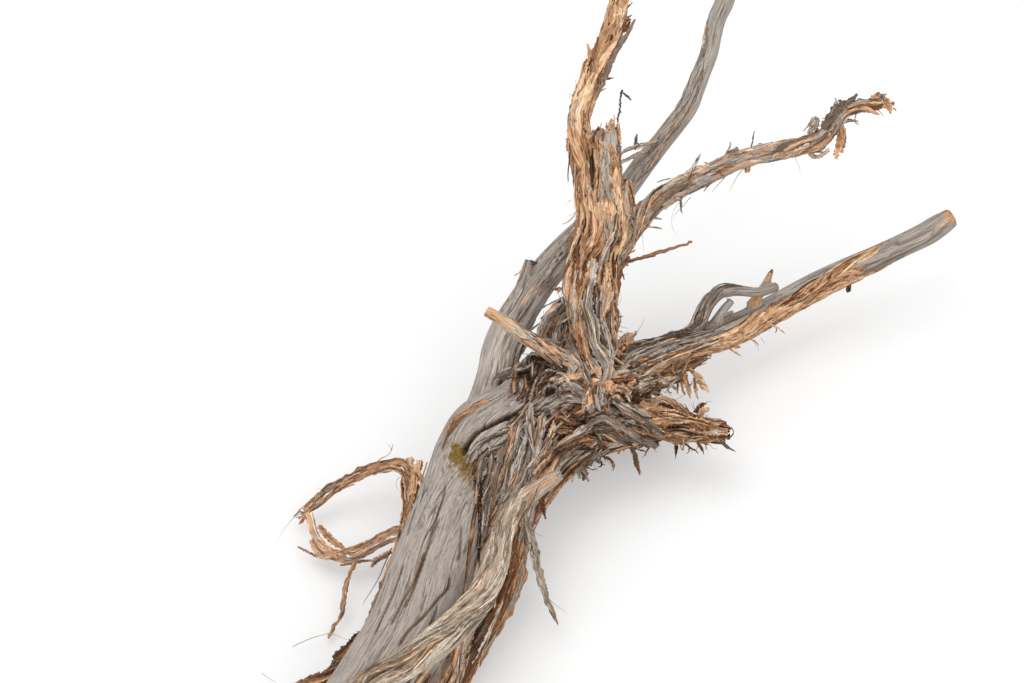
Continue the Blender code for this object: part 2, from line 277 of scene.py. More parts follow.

# Patches of another look: x, y, z, size and how much more (bark, cream, dark) they show. Where a patch takes
# dark away, the skin is also painted paler, as painted light.
PATCHES = [
    (-92, 96, 111, 6, (0.5, 0.1, -0.05)),
    (-100, 82, 108, 5, (0.5, 0.1, -0.05)),
    (-105, 70, 103, 4, (0.4, 0.1, 0)),
    (-84, 108, 113, 5, (0.35, 0, -0.05)),
    (-98, 88, 110, 16, (0, 0.32, -0.35)),
    (-116, 50, 99, 16, (0, 0.3, -0.35)),
    (-126, 25, 95, 16, (0, 0.25, -0.4)),
    (-135, 32, 153, 8, (0.8, 0, 0.05)),
    (-120, 23, 149, 9, (0.3, 0.3, -0.15)),
    (-104, 12, 143, 10, (0.1, 0.4, -0.2)),
    (-85, 3, 135, 10, (0.1, 0.4, -0.2)),
    (299, 209, 89, 9, (0.7, 0, 0.2)),
    (60, 280, 192, 16, (0, 0.1, -0.15)),
    (50, 255, 178, 14, (0, 0.3, -0.15)),
    (57, 62, 60, 12, (0.8, 0.1, 0.1)),
    (77, 75, 58, 12, (0.9, 0.2, 0)),
    (98, 89, 55, 12, (0.9, 0.2, 0)),
    (120, 105, 54, 12, (0.9, 0.1, 0)),
    (141, 119, 54, 11, (0.85, 0.1, 0)),
    (162, 132, 57, 10, (0.8, 0.1, 0)),
    (183, 142, 61, 9, (0.7, 0.1, 0)),
    (204, 151, 67, 8, (0.6, 0.1, 0)),
    (221, 159, 70, 7, (0.4, 0.1, 0)),
    (-170, -35, 85, 8, (0.4, 0.2, 0)),
    (-20, 107, 201, 9, (-0.4, 0, 0.1)),
    (-47, 114, 204, 13, (0.1, -0.2, 0.9)),
    (-42, 90, 194, 13, (0.1, -0.2, 0.8)),
    (-24, 92, 198, 8, (0.1, -0.1, 0.5)),
    (-31, 140, 240, 11, (0, 0.3, -0.4)),
    (-46, 28, 146, 12, (0, 0.2, -0.8)),
    (-49, 15, 129, 12, (0, 0.2, -0.8)),
    (-32, 20, 131, 8, (0, 0.1, -0.6)),
    (-29, 135, 235, 10, (-0.3, 0.1, 0)),
    (-38, -19, 114, 10, (0.5, 0, 0)),
    (-46, -30, 107, 10, (0.5, 0, 0)),
    (-55, -16, 120, 8, (0.4, 0, 0)),
    (-72, -43, 103, 10, (0.7, 0, 0.3)),
    (-59, -50, 97, 10, (0.6, 0, 0.2)),
    (-27, -21, 107, 9, (0.6, 0, 0)),
    (-33, 221, 283, 13, (0, -0.2, 0.55)),
    (-26, 242, 297, 13, (0, -0.2, 0.6)),
    (-21, 261, 306, 13, (0, -0.2, 0.6)),
    (-42, 203, 269, 9, (0, -0.1, 0.3)),
    (-211, -284, 78, 12, (0.2, 0.5, 0)),
    (-165, -238, 62, 12, (0.1, 0.5, 0)),
    (-107, -135, 63, 8, (0.1, 0.4, 0)),
]

# Long drying cracks, the edge of the hollow and the slab's groove, carved in and painted dark as shade:
# width, depth and points.
CRACKS = [
    (1.7, 1.2, ((-77, 119, 120), (-83, 109, 115), (-89, 100, 112))),
    (1.7, 1.35, ((-107, 63, 102), (-112, 51, 99), (-117, 36, 96))),
    (1.7, 1.1, ((-127, 32, 98), (-133, 13, 92), (-139, -5, 88))),
    (1.7, 1.1, ((60, 298, 200), (54, 276, 191), (43, 255, 181), (29, 239, 171))),
    (1.7, 1.1, ((3, 213, 155), (-13, 197, 145), (-32, 108, 214))),
    (1.7, 1.1, ((285, 193, 87), (261, 181, 85), (237, 172, 81))),
    (1.7, 1.1, ((252, 181, 85), (228, 170, 80), (200, 160, 75))),
    (3.4, 7, (
        (-155, -79, 88), (-155, -69, 88), (-150, -60, 89), (-143, -52, 92), (-133, -48, 96),
        (-122, -44, 99), (-112, -42, 102), (-104, -37, 105),
    )),
    (2.2, 6, (
        (-143, -89, 87), (-142, -107, 81), (-141, -128, 73), (-141, -153, 63), (-142, -170, 54),
        (-144, -189, 50),
    )),
    (1.7, 1.2, (
        (-171, -99, 83), (-173, -118, 84), (-180, -147, 84), (-184, -167, 84), (-189, -187, 84),
        (-196, -212, 84), (-204, -234, 83),
    )),
    (1.7, 1.5, (
        (-166, -191, 79), (-167, -205, 77), (-177, -222, 80), (-186, -236, 81), (-199, -252, 82),
        (-208, -269, 81),
    )),
    (1.7, 1.125, (
        (-187, -170, 84), (-191, -188, 84), (-197, -207, 84), (-206, -227, 83), (-215, -250, 82),
    )),
    (1.7, 1.125, ((-195, -111, 71), (-199, -132, 71), (-203, -155, 74))),
    (1.7, 1.1, ((-156, -140, 82), (-157, -163, 78), (-159, -182, 76))),
    (1.7, 1.1, ((-174, -219, 79), (-181, -243, 77), (-194, -265, 77), (-206, -284, 77))),
    (1.7, 1.1, ((-204, -179, 78), (-210, -204, 78), (-219, -230, 78), (-228, -258, 79))),
    (1.4, 3, ((-152, -171, 72), (-151, -176, 69), (-149, -180, 64))),
    (1.7, 1.1, ((-111, 47, 96), (-118, 34, 96), (-125, 17, 93))),
    (1.2, 1.6, ((-100, 83, 110), (-108, 68, 105), (-115, 54, 101))),
]

# Splits round the broken near end of the trunk: angle round it in degrees, length, width and depth.
END_SPLITS = [
    (-168, 60, 1.7, 3), (-135, 95, 1.8, 4), (-108, 45, 1.7, 3), (-82, 80, 1.8, 4), (-55, 50, 1.7, 3),
    (-28, 100, 1.9, 4), (-4, 55, 1.7, 3), (20, 105, 1.9, 5), (44, 60, 1.7, 3), (70, 85, 1.8, 4),
    (98, 50, 1.7, 3), (124, 75, 1.8, 3), (150, 40, 1.7, 3),
]

# Ribbons listed one by one: (bark, cream, dark), thickness, then points as x, y, z and width.
RIBBONS = [
    # loop
    ((0.55, 0.3, -0.15), 1.6, ((-198, -100, 38, 7.8), (-200, -83, 46, 9.6), (-202, -68, 52, 9.6),
        (-211, -57, 54, 8.8), (-227, -55, 48, 7.9), (-246, -57, 40, 7.9), (-266, -62, 31, 7.1),
        (-284, -70, 23, 6.2), (-298, -82, 17, 3.5))),
    ((0.6, 0.15, -0.15), 1.4, ((-207, -114, 34, 6.9), (-204, -96, 44, 7), (-206, -76, 49, 7),
        (-212, -64, 50, 6.1), (-227, -59, 45, 5.3), (-248, -62, 37, 4.4), (-268, -68, 28, 4.4),
        (-285, -80, 20, 3.5), (-302, -89, 14, 1.8))),
    ((0.75, 0.1, -0.05), 1.4, ((-209, -131, 28, 6.1), (-208, -110, 38, 6.9), (-202, -89, 48, 7),
        (-198, -70, 55, 7.9), (-195, -58, 57, 6.1))),
    ((0.7, 0, 0.05), 1.2, ((-212, -136, 24, 4.3), (-210, -116, 34, 4.3), (-207, -100, 44, 5.2),
        (-210, -79, 50, 4.4), (-210, -63, 52, 3.5))),
    ((0.55, 0.2, -0.1), 1.2, ((-205, -52, 54, 5.3), (-200, -66, 56, 6.1), (-193, -79, 56, 5.2),
        (-191, -94, 52, 4.3), (-196, -113, 44, 3.5))),
    ((0.75, 0, 0), 1, ((-275, -63, 27, 4.4), (-286, -71, 21, 4.4), (-294, -84, 16, 3.5),
        (-301, -94, 12, 1.8))),
    ((0.55, 0.2, -0.1), 1, ((-291, -74, 20, 3.5), (-296, -85, 17, 2.6), (-302, -82, 14, 1.8),
        (-307, -85, 11, 0.9))),
    ((0.65, 0.15, -0.1), 1.6, ((-203, -117, 30, 6.1), (-213, -113, 30, 6.1), (-224, -116, 29, 5.2),
        (-237, -124, 27, 4.3), (-253, -130, 24, 5.2), (-267, -132, 22, 6.1), (-279, -124, 21, 5.2),
        (-288, -111, 21, 4.4), (-292, -97, 22, 4.4), (-294, -89, 23, 2.6))),
    ((0.45, 0.2, -0.05), 1.4, ((-208, -120, 28, 3.5), (-218, -122, 28, 3.5), (-229, -127, 26, 3.5),
        (-242, -134, 23, 4.3), (-256, -138, 20, 4.3), (-269, -134, 19, 4.3), (-279, -129, 18, 4.3),
        (-286, -118, 19, 3.5), (-290, -106, 20, 2.6))),
    ((0.8, 0.1, 0.05), 2, ((-283, -106, 26, 4.4), (-278, -112, 25, 5.2), (-271, -120, 24, 5.2),
        (-263, -126, 23, 4.3), (-257, -131, 22, 2.6))),
    ((0.6, 0.1, 0.05), 1.2, ((-258, -136, 20, 4.3), (-268, -133, 22, 5.2), (-279, -134, 20, 4.3),
        (-286, -126, 20, 3.5), (-290, -116, 19, 2.6))),
    ((0.5, 0.2, 0), 1, ((-208, -115, 32, 4.3), (-220, -120, 33, 4.3), (-235, -129, 30, 3.5),
        (-249, -136, 26, 3.5), (-261, -132, 24, 2.6))),
    ((0.5, 0.1, 0.2), 0.9, ((-218, -132, 24, 3.5), (-225, -135, 22, 4.3), (-232, -139, 19, 5.2),
        (-236, -143, 17, 2.6))),
    ((0.5, 0.1, 0.3), 0.8, ((-228, -138, 20, 2.1), (-241, -138, 19, 2.6), (-253, -139, 17, 2.6),
        (-263, -140, 15, 1.3))),
    ((0.55, 0.15, 0.1), 0.8, ((-301, -119, 13, 1.4), (-294, -124, 14, 2.1), (-286, -130, 16, 2.6),
        (-277, -134, 18, 1.7))),
    ((0.6, 0.1, 0.05), 1, ((-249, -141, 22, 4.3), (-254, -152, 19, 3.5), (-258, -164, 16, 3.4),
        (-259, -177, 13, 3.8), (-260, -188, 11, 3.4), (-265, -197, 9, 3.4), (-269, -205, 7, 4.3),
        (-271, -209, 6, 1.7))),
    # edge
    ((0.6, 0.25, 0.1), 1.4, ((-211, -120, 40, 5.2), (-213, -133, 36, 6), (-217, -147, 33, 6),
        (-222, -164, 30, 6), (-227, -181, 28, 6), (-233, -196, 26, 5.1), (-238, -207, 25, 3.4))),
    ((0.55, 0.2, 0.3), 1.2, ((-208, -139, 33, 6), (-214, -152, 31, 6.9), (-220, -169, 29, 5.1),
        (-226, -184, 27, 4.3), (-231, -199, 25, 2.5))),
    ((0.3, 0.1, 0.35), 1.2, ((-207, -131, 40, 4.3), (-212, -149, 36, 5.2), (-218, -168, 33, 5.1),
        (-223, -185, 31, 3.4))),
    ((0.5, 0, 0.6), 1.4, ((-244, -215, 22, 5.1), (-249, -223, 21, 6.8), (-255, -230, 20, 6.7),
        (-262, -235, 18, 5.9), (-265, -241, 16, 3.4))),
    ((0.6, 0.1, 0.45), 1.2, ((-249, -231, 22, 5), (-255, -238, 20, 6.7), (-262, -246, 18, 6.7),
        (-270, -253, 16, 6.7), (-281, -260, 14, 6.7), (-293, -266, 12, 4.2))),
    ((0.7, 0.15, 0.2), 1.2, ((-260, -249, 22, 5), (-268, -253, 20, 6.7), (-279, -257, 18, 6.7),
        (-291, -259, 15, 5), (-301, -264, 12, 2.5))),
    ((0.45, 0.1, 0.6), 1.2, ((-258, -252, 18, 6.7), (-269, -259, 16, 7.5), (-283, -265, 14, 7.5),
        (-294, -274, 12, 5))),
    # shoulder
    ((0.75, 0.2, 0), 1.2, ((-170, -54, 91, 2.6), (-163, -43, 95, 4.3), (-153, -36, 98, 5.2),
        (-144, -30, 100, 5.2), (-134, -26, 102, 2.6))),
    ((0.45, 0, 0.5), 1, ((-174, -68, 88, 2.6), (-169, -55, 92, 3.5), (-162, -46, 95, 3.5),
        (-153, -37, 98, 2.6))),
    # right
    ((0.7, 0, 0.25), 2.2, ((-105, -128, 66, 4.3), (-104, -140, 60, 8.5), (-107, -160, 52, 11.9),
        (-111, -177, 46, 12.7), (-116, -193, 40, 11), (-124, -211, 34, 8.4), (-133, -225, 28, 6.7),
        (-141, -239, 22, 5.9), (-149, -252, 17, 5), (-156, -265, 13, 3.3))),
    ((0.35, 0.25, 0.15), 1.2, ((-102, -149, 58, 3.4), (-105, -169, 50, 5.1), (-109, -187, 43, 5.1),
        (-117, -203, 37, 4.2), (-125, -217, 31, 3.4), (-134, -232, 26, 2.5), (-143, -244, 20, 2.5))),
    ((0.6, 0, 0.7), 2.4, ((-119, -168, 54, 7.6), (-124, -182, 48, 8.5), (-132, -198, 42, 7.6),
        (-139, -214, 36, 6.7), (-147, -228, 30, 5), (-153, -240, 26, 2.5))),
    ((0.65, 0, 0.55), 2, ((-111, -146, 62, 5.1), (-115, -164, 54, 6.8), (-120, -182, 48, 5.9),
        (-126, -198, 42, 4.2), (-132, -211, 37, 1.7))),
    ((0.6, 0, 0.75), 2.4, ((-138, -207, 46, 7.6), (-146, -222, 42, 10), (-154, -239, 40, 11.7),
        (-160, -255, 38, 11.6), (-167, -273, 36, 11.6), (-173, -293, 34, 9.9))),
    ((0.55, 0.05, 0.55), 2, ((-131, -205, 40, 5.9), (-139, -222, 36, 7.6), (-147, -241, 34, 7.5),
        (-154, -259, 32, 7.5), (-160, -279, 30, 6.6))),
    ((0.75, 0, 0.45), 1.8, ((-126, -191, 38, 5.1), (-134, -209, 34, 5.1), (-143, -226, 30, 4.2),
        (-152, -244, 26, 2.5))),
    ((0.6, 0, 0.55), 2.4, ((-93, -104, 84, 6), (-89, -111, 80, 6.8), (-88, -119, 76, 5.1),
        (-86, -124, 72, 2.6), (-85, -129, 68, 0.9))),
    # hollow
    ((0.15, 0.15, 0.15), 1.6, ((-100, -55, 97, 5.2), (-101, -66, 89, 6.9), (-105, -82, 82, 7.8),
        (-112, -100, 76, 6.9), (-122, -115, 70, 6), (-129, -133, 64, 5.1), (-134, -151, 60, 3.4))),
    ((0.1, 0, 1), 0.8, ((-141, -108, 82, 2.6), (-141, -129, 74, 3.4), (-142, -151, 68, 3.8),
        (-143, -170, 59, 3.8), (-146, -192, 51, 2.5))),
    ((0.35, 0.1, 0.2), 1.6, ((-121, -70, 93, 5.2), (-125, -84, 86, 6.9), (-130, -98, 79, 6),
        (-136, -116, 75, 5.1), (-140, -136, 71, 4.3), (-141, -154, 65, 2.5))),
    ((0.1, 0.3, 0), 1.4, ((-135, -108, 76, 2.6), (-137, -124, 72, 4.3), (-139, -140, 67, 4.3),
        (-140, -155, 62, 2.5))),
    ((0.75, 0.1, 0), 1.2, ((-129, -106, 72, 3.4), (-131, -117, 68, 4.3), (-134, -131, 64, 4.3),
        (-136, -143, 62, 2.6))),
    ((0.55, 0.1, 0.15), 1.4, ((-114, -51, 101, 4.3), (-117, -68, 93, 5.2), (-122, -83, 85, 6),
        (-126, -97, 76, 5.2), (-129, -110, 69, 2.6))),
    ((0.2, 0.1, 0.1), 1.4, ((-92, -57, 96, 6), (-92, -71, 89, 7.8), (-95, -85, 82, 6.9),
        (-100, -101, 78, 4.3))),
    ((0.05, 0.1, 0.25), 1.2, ((-108, -85, 80, 6.9), (-114, -97, 75, 9.5), (-120, -111, 72, 9.4),
        (-124, -123, 68, 6))),
    ((0.5, 0.2, 0.2), 1.4, ((-76, -64, 94, 5.2), (-83, -75, 86, 6.9), (-92, -86, 81, 6.9),
        (-100, -100, 79, 5.1), (-107, -112, 76, 2.6))),
    # stem
    ((0.65, 0, 0.45), 1.6, ((-58, 141, 131, 3.6), (-61, 129, 125, 5.4), (-64, 74, 168, 5.3),
        (-67, 67, 157, 4.4), (-69, 70, 137, 1.8))),
    ((0.45, 0.35, 0), 1.8, ((-55, 42, 162, 5.2), (-55, 34, 153, 7), (-58, 28, 143, 6.1),
        (-63, 28, 131, 3.5))),
    ((0.05, 0, 0.35), 1.6, ((-65, 53, 157, 7), (-66, 47, 142, 10.5), (-66, 42, 128, 11.4),
        (-63, 23, 125, 10.5), (-58, 4, 126, 7))),
    ((0.4, 0, 0.85), 1, ((-45, 160, 233, 2.6), (-44, 142, 222, 3.9), (-42, 121, 213, 4.4),
        (-41, 99, 204, 4.4), (-39, 81, 194, 2.6))),
    ((0, 1, -0.3), 1.8, ((-32, 138, 244, 6.1), (-32, 123, 229, 8.7), (-31, 105, 214, 8.7),
        (-31, 88, 202, 7), (-31, 76, 189, 3.5))),
    ((1, 0, 0.42), 1.4, ((-55, 134, 217, 3.5), (-54, 119, 207, 5.3), (-51, 102, 197, 6.1),
        (-50, 81, 191, 6.1), (-48, 65, 183, 3.5))),
    ((1, 0, 0.5), 1.4, ((-56, 90, 187, 4.4), (-57, 71, 179, 7), (-58, 54, 169, 7), (-60, 42, 156, 4.4))),
    ((1, 0.05, 0.4), 1.4, ((-22, 90, 197, 3.5), (-21, 79, 183, 5.2), (-20, 72, 162, 6.1),
        (-21, 57, 150, 3.5))),
    ((1, 0, 0.4), 1.4, ((-26, 256, 305, 5.3), (-31, 237, 296, 7), (-37, 220, 286, 7),
        (-42, 204, 275, 4.4))),
    # flake
    ((0.95, 0.25, 0), 1.4, ((-21, 29, 101, 8), (-14, 47, 90, 8.9), (-9, 54, 90, 8.1), (-5, 61, 90, 2.7))),
    ((0.95, 0.25, 0), 1.2, ((-21, 45, 91, 3.6), (-16, 51, 94, 4.5), (-10, 58, 93, 2.7))),
    ((0.75, 0.35, 0), 1.4, ((-7, 20, 95, 2.7), (-2, 20, 90, 6.2), (2, 20, 82, 2.7))),
    ((0.9, 0.2, 0), 1.4, ((-32, -18, 118, 4.3), (-28, -20, 114, 7.8), (-25, -22, 110, 4.3))),
    ((0.9, 0.25, 0), 1.4, ((-40, -6, 124, 3.5), (-39, -11, 123, 5.2), (-38, -16, 121, 2.6))),
    ((0.75, 0.35, 0), 1.2, ((-21, 69, 168, 5.2), (-16, 76, 168, 8.8), (-11, 80, 170, 4.4))),
    ((0.75, 0.35, 0), 1.2, ((-76, 103, 103, 2.7), (-72, 106, 97, 4.5), (-70, 71, 139, 2.7))),
    # crown
    ((0.8, 0.35, 0), 1.8, ((-40, 145, 238, 7), (-40, 154, 243, 7.9), (-39, 160, 247, 4.4),
        (-38, 163, 249, 0.9))),
    ((0.75, 0.4, 0), 1.6, ((-30, 146, 242, 7), (-29, 155, 247, 7.9), (-28, 162, 251, 5.2),
        (-27, 167, 255, 1.7))),
    ((0.7, 0.4, 0), 1.6, ((-23, 145, 238, 6.1), (-22, 154, 243, 6.1), (-21, 163, 247, 4.4),
        (-21, 168, 250, 0.9))),
    ((0.8, 0.3, 0.1), 1.4, ((-35, 141, 244, 6.1), (-34, 151, 249, 5.2), (-34, 156, 252, 1.7))),
    # side
    ((0.05, 0, 0.42), 2, ((-41, 181, 262, 1.7), (-36, 192, 268, 3.1), (-30, 205, 275, 3.9),
        (-24, 218, 282, 4.4), (-17, 228, 288, 4), (-11, 237, 293, 3.1), (-5, 247, 298, 1.3))),
    ((0.8, 0.1, 0.2), 2.2, ((-21, 236, 290, 5.3), (-16, 243, 292, 7.1), (-12, 249, 294, 5.3),
        (-11, 252, 295, 0.9))),
    # ur
    ((0.05, 0, 0.5), 1.4, ((11, 112, 196, 5.3), (20, 124, 200, 6.2), (29, 130, 203, 6.2),
        (41, 137, 206, 5.3), (49, 144, 209, 3.5), (56, 151, 211, 1.3))),
    ((0.95, 0.25, 0), 1.2, ((96, 161, 204, 4.4), (94, 158, 202, 6.2), (95, 155, 200, 3.5))),
    ((0.85, 0.2, 0.1), 1.2, ((217, 199, 246, 5.3), (218, 194, 244, 8), (220, 190, 242, 3.5),
        (221, 187, 240, 0.9))),
    ((0.75, 0.25, 0.1), 1.2, ((204, 200, 247, 3.5), (212, 202, 248, 5.3), (217, 199, 247, 4.4))),
    ((0.35, 0.3, 0.2), 1.4, ((191, 201, 240, 4.4), (201, 199, 244, 5.3), (210, 200, 247, 4.4),
        (215, 200, 248, 2.7))),
    ((0.7, 0.1, 0.2), 1.4, ((177, 187, 230, 5.3), (177, 176, 226, 7.1), (175, 166, 221, 7.1),
        (172, 156, 216, 2.6))),
    ((0.75, 0.1, 0.2), 1.2, ((179, 179, 228, 4.4), (178, 169, 223, 6.2), (177, 161, 219, 3.5))),
    ((0.35, 0.45, 0), 1.2, ((147, 173, 230, 3.5), (152, 178, 234, 7.1), (154, 183, 237, 7.1),
        (153, 184, 239, 3.5))),
    ((0, 0.1, 0.45), 1.4, ((159, 174, 236, 6.2), (168, 184, 241, 7.9), (177, 192, 245, 7.1),
        (186, 197, 248, 4.4), (191, 201, 251, 2.7))),
    ((0, 0.1, 0.5), 1.2, ((166, 179, 238, 4.4), (172, 187, 243, 5.3), (177, 194, 247, 3.5),
        (174, 195, 249, 1.8))),
    ((0.4, 0.2, 0), 1, ((147, 160, 220, 2.6), (153, 158, 216, 3.5), (160, 160, 216, 3.5),
        (166, 165, 218, 2.7))),
    ((0.2, 0.2, 0.3), 1, ((86, 169, 216, 2.7), (83, 166, 216, 3.5), (77, 164, 214, 3.5))),
    # grey
    ((0.1, 0.1, 0.35), 1.6, ((-22, 167, 250, 1.4), (-20, 175, 254, 1.8), (-19, 184, 258, 1.6),
        (-18, 190, 262, 1.8), (-17, 193, 264, 1.3))),
    ((0.1, 0.1, 0.5), 1.2, ((-18, 191, 263, 1.4), (-14, 188, 262, 1.8), (-10, 184, 260, 1.2))),
    # twig
    ((0.45, 0.1, 0.45), 2.6, ((-20, 74, 169, 2.6), (-11, 75, 171, 2.6), (1, 76, 175, 2.6), (13, 77, 180, 3),
        (25, 76, 186, 2.6), (36, 78, 188, 2.3), (43, 81, 190, 2.1))),
    # pale
    ((0.3, 0.5, 0), 1.8, ((-18, 200, 174, 3.6), (-8, 208, 172, 4.6), (3, 216, 169, 3.7),
        (16, 224, 166, 2.8), (22, 230, 164, 1.4))),
    ((0.2, 0.4, 0.1), 1.4, ((-16, 196, 170, 2.7), (-7, 203, 168, 3.6), (3, 214, 164, 2.7),
        (12, 222, 159, 1.8))),
    ((0.3, 0.3, 0.1), 1.4, ((-2, 213, 170, 2.7), (-1, 220, 173, 2.7), (0, 226, 175, 1.4))),
    # sliver
    ((0, 0.9, -0.25), 3, ((-103, -131, 78, 2.6), (-101, -138, 70, 6), (-97, -146, 62, 6.8),
        (-94, -157, 54, 6), (-91, -170, 46, 5.1), (-87, -181, 38, 4.7), (-84, -189, 32, 4.2),
        (-80, -197, 27, 3.8), (-76, -205, 22, 1.3))),
    ((0.75, 0.25, 0.1), 1.4, ((-84, -188, 33, 2.5), (-80, -195, 28, 3.4), (-77, -202, 24, 2.5),
        (-75, -205, 22, 0.8))),
    # rb
    ((0.3, 0, 0.5), 3.4, ((199, 152, 56, 3.7), (200, 149, 50, 4.2), (200, 148, 46, 3.3))),
    ((0.8, 0.3, 0), 1.4, ((118, 127, 75, 2.8), (121, 134, 80, 4.6), (124, 138, 84, 3.7),
        (126, 140, 86, 1.4))),
    ((0.8, 0.2, 0.1), 1.2, ((44, 53, 52, 3.6), (49, 48, 50, 4.5), (53, 32, 57, 3.6), (58, 24, 54, 1.8))),
    ((0.75, 0.2, 0.1), 1.2, ((42, 48, 51, 3.6), (43, 31, 57, 3.6), (45, 22, 54, 2.7), (46, 16, 52, 0.9))),
    ((0.8, 0.2, 0), 1.2, ((47, 49, 54, 3.6), (54, 45, 51, 3.6), (58, 27, 60, 4.5), (62, 19, 57, 1.8))),
    ((0.7, 0.2, 0.2), 1, ((40, 44, 49, 2.7), (39, 28, 55, 2.7), (41, 20, 52, 0.9))),
    ((0.8, 0.25, 0), 1, ((51, 41, 50, 2.7), (51, 23, 55, 2.7), (53, 15, 52, 0.9))),
    ((0.55, 0, 0.5), 1.6, ((49, -8, 62, 4.4), (53, -5, 66, 4.4), (56, -3, 68, 2.7))),
    ((0.85, 0.15, 0), 1.6, ((52, -16, 64, 5.3), (54, -11, 68, 6.2), (59, -10, 69, 3.5))),
    # tail
    ((0.1, 0.1, 0.3), 2.4, ((-72, -58, 70, 6.1), (-62, -60, 64, 8.7), (-55, -65, 58, 8.7),
        (-50, -69, 52, 6.1), (-51, -73, 48, 2.6))),
    ((0.2, 0.1, 0.3), 1.8, ((-56, -67, 56, 4.4), (-49, -62, 54, 5.3), (-44, -53, 54, 4.4),
        (-38, -48, 55, 2.6))),
    ((0.4, 0, 0.5), 1.4, ((-8, -39, 50, 5.3), (-5, -47, 46, 4.4), (-4, -53, 43, 2.6), (-1, -61, 40, 0.9))),
    ((0.3, 0.1, 0.3), 1.2, ((-46, -54, 58, 3.5), (-39, -57, 56, 3.5), (-37, -58, 54, 1.8))),
    # stub
    ((0.6, 0.2, 0.2), 1.6, ((-1, -15, 83, 5.3), (10, -13, 74, 7.9), (20, -16, 73, 7.9), (31, -19, 71, 6.2),
        (41, -24, 70, 2.6))),
    ((0.75, 0.2, 0.05), 1.6, ((17, -3, 68, 4.4), (28, -5, 68, 7.1), (38, -15, 70, 7.1),
        (46, -25, 69, 3.5))),
    ((0.55, 0.1, 0.4), 1.6, ((-9, -35, 74, 5.3), (6, -33, 66, 8.8), (20, -29, 55, 8.8), (34, -32, 55, 7.1),
        (48, -34, 56, 3.5))),
    ((0.75, 0, 0.5), 1.8, ((43, -26, 69, 5.3), (52, -29, 68, 7.9), (62, -31, 66, 7.9), (71, -31, 64, 4.4))),
]

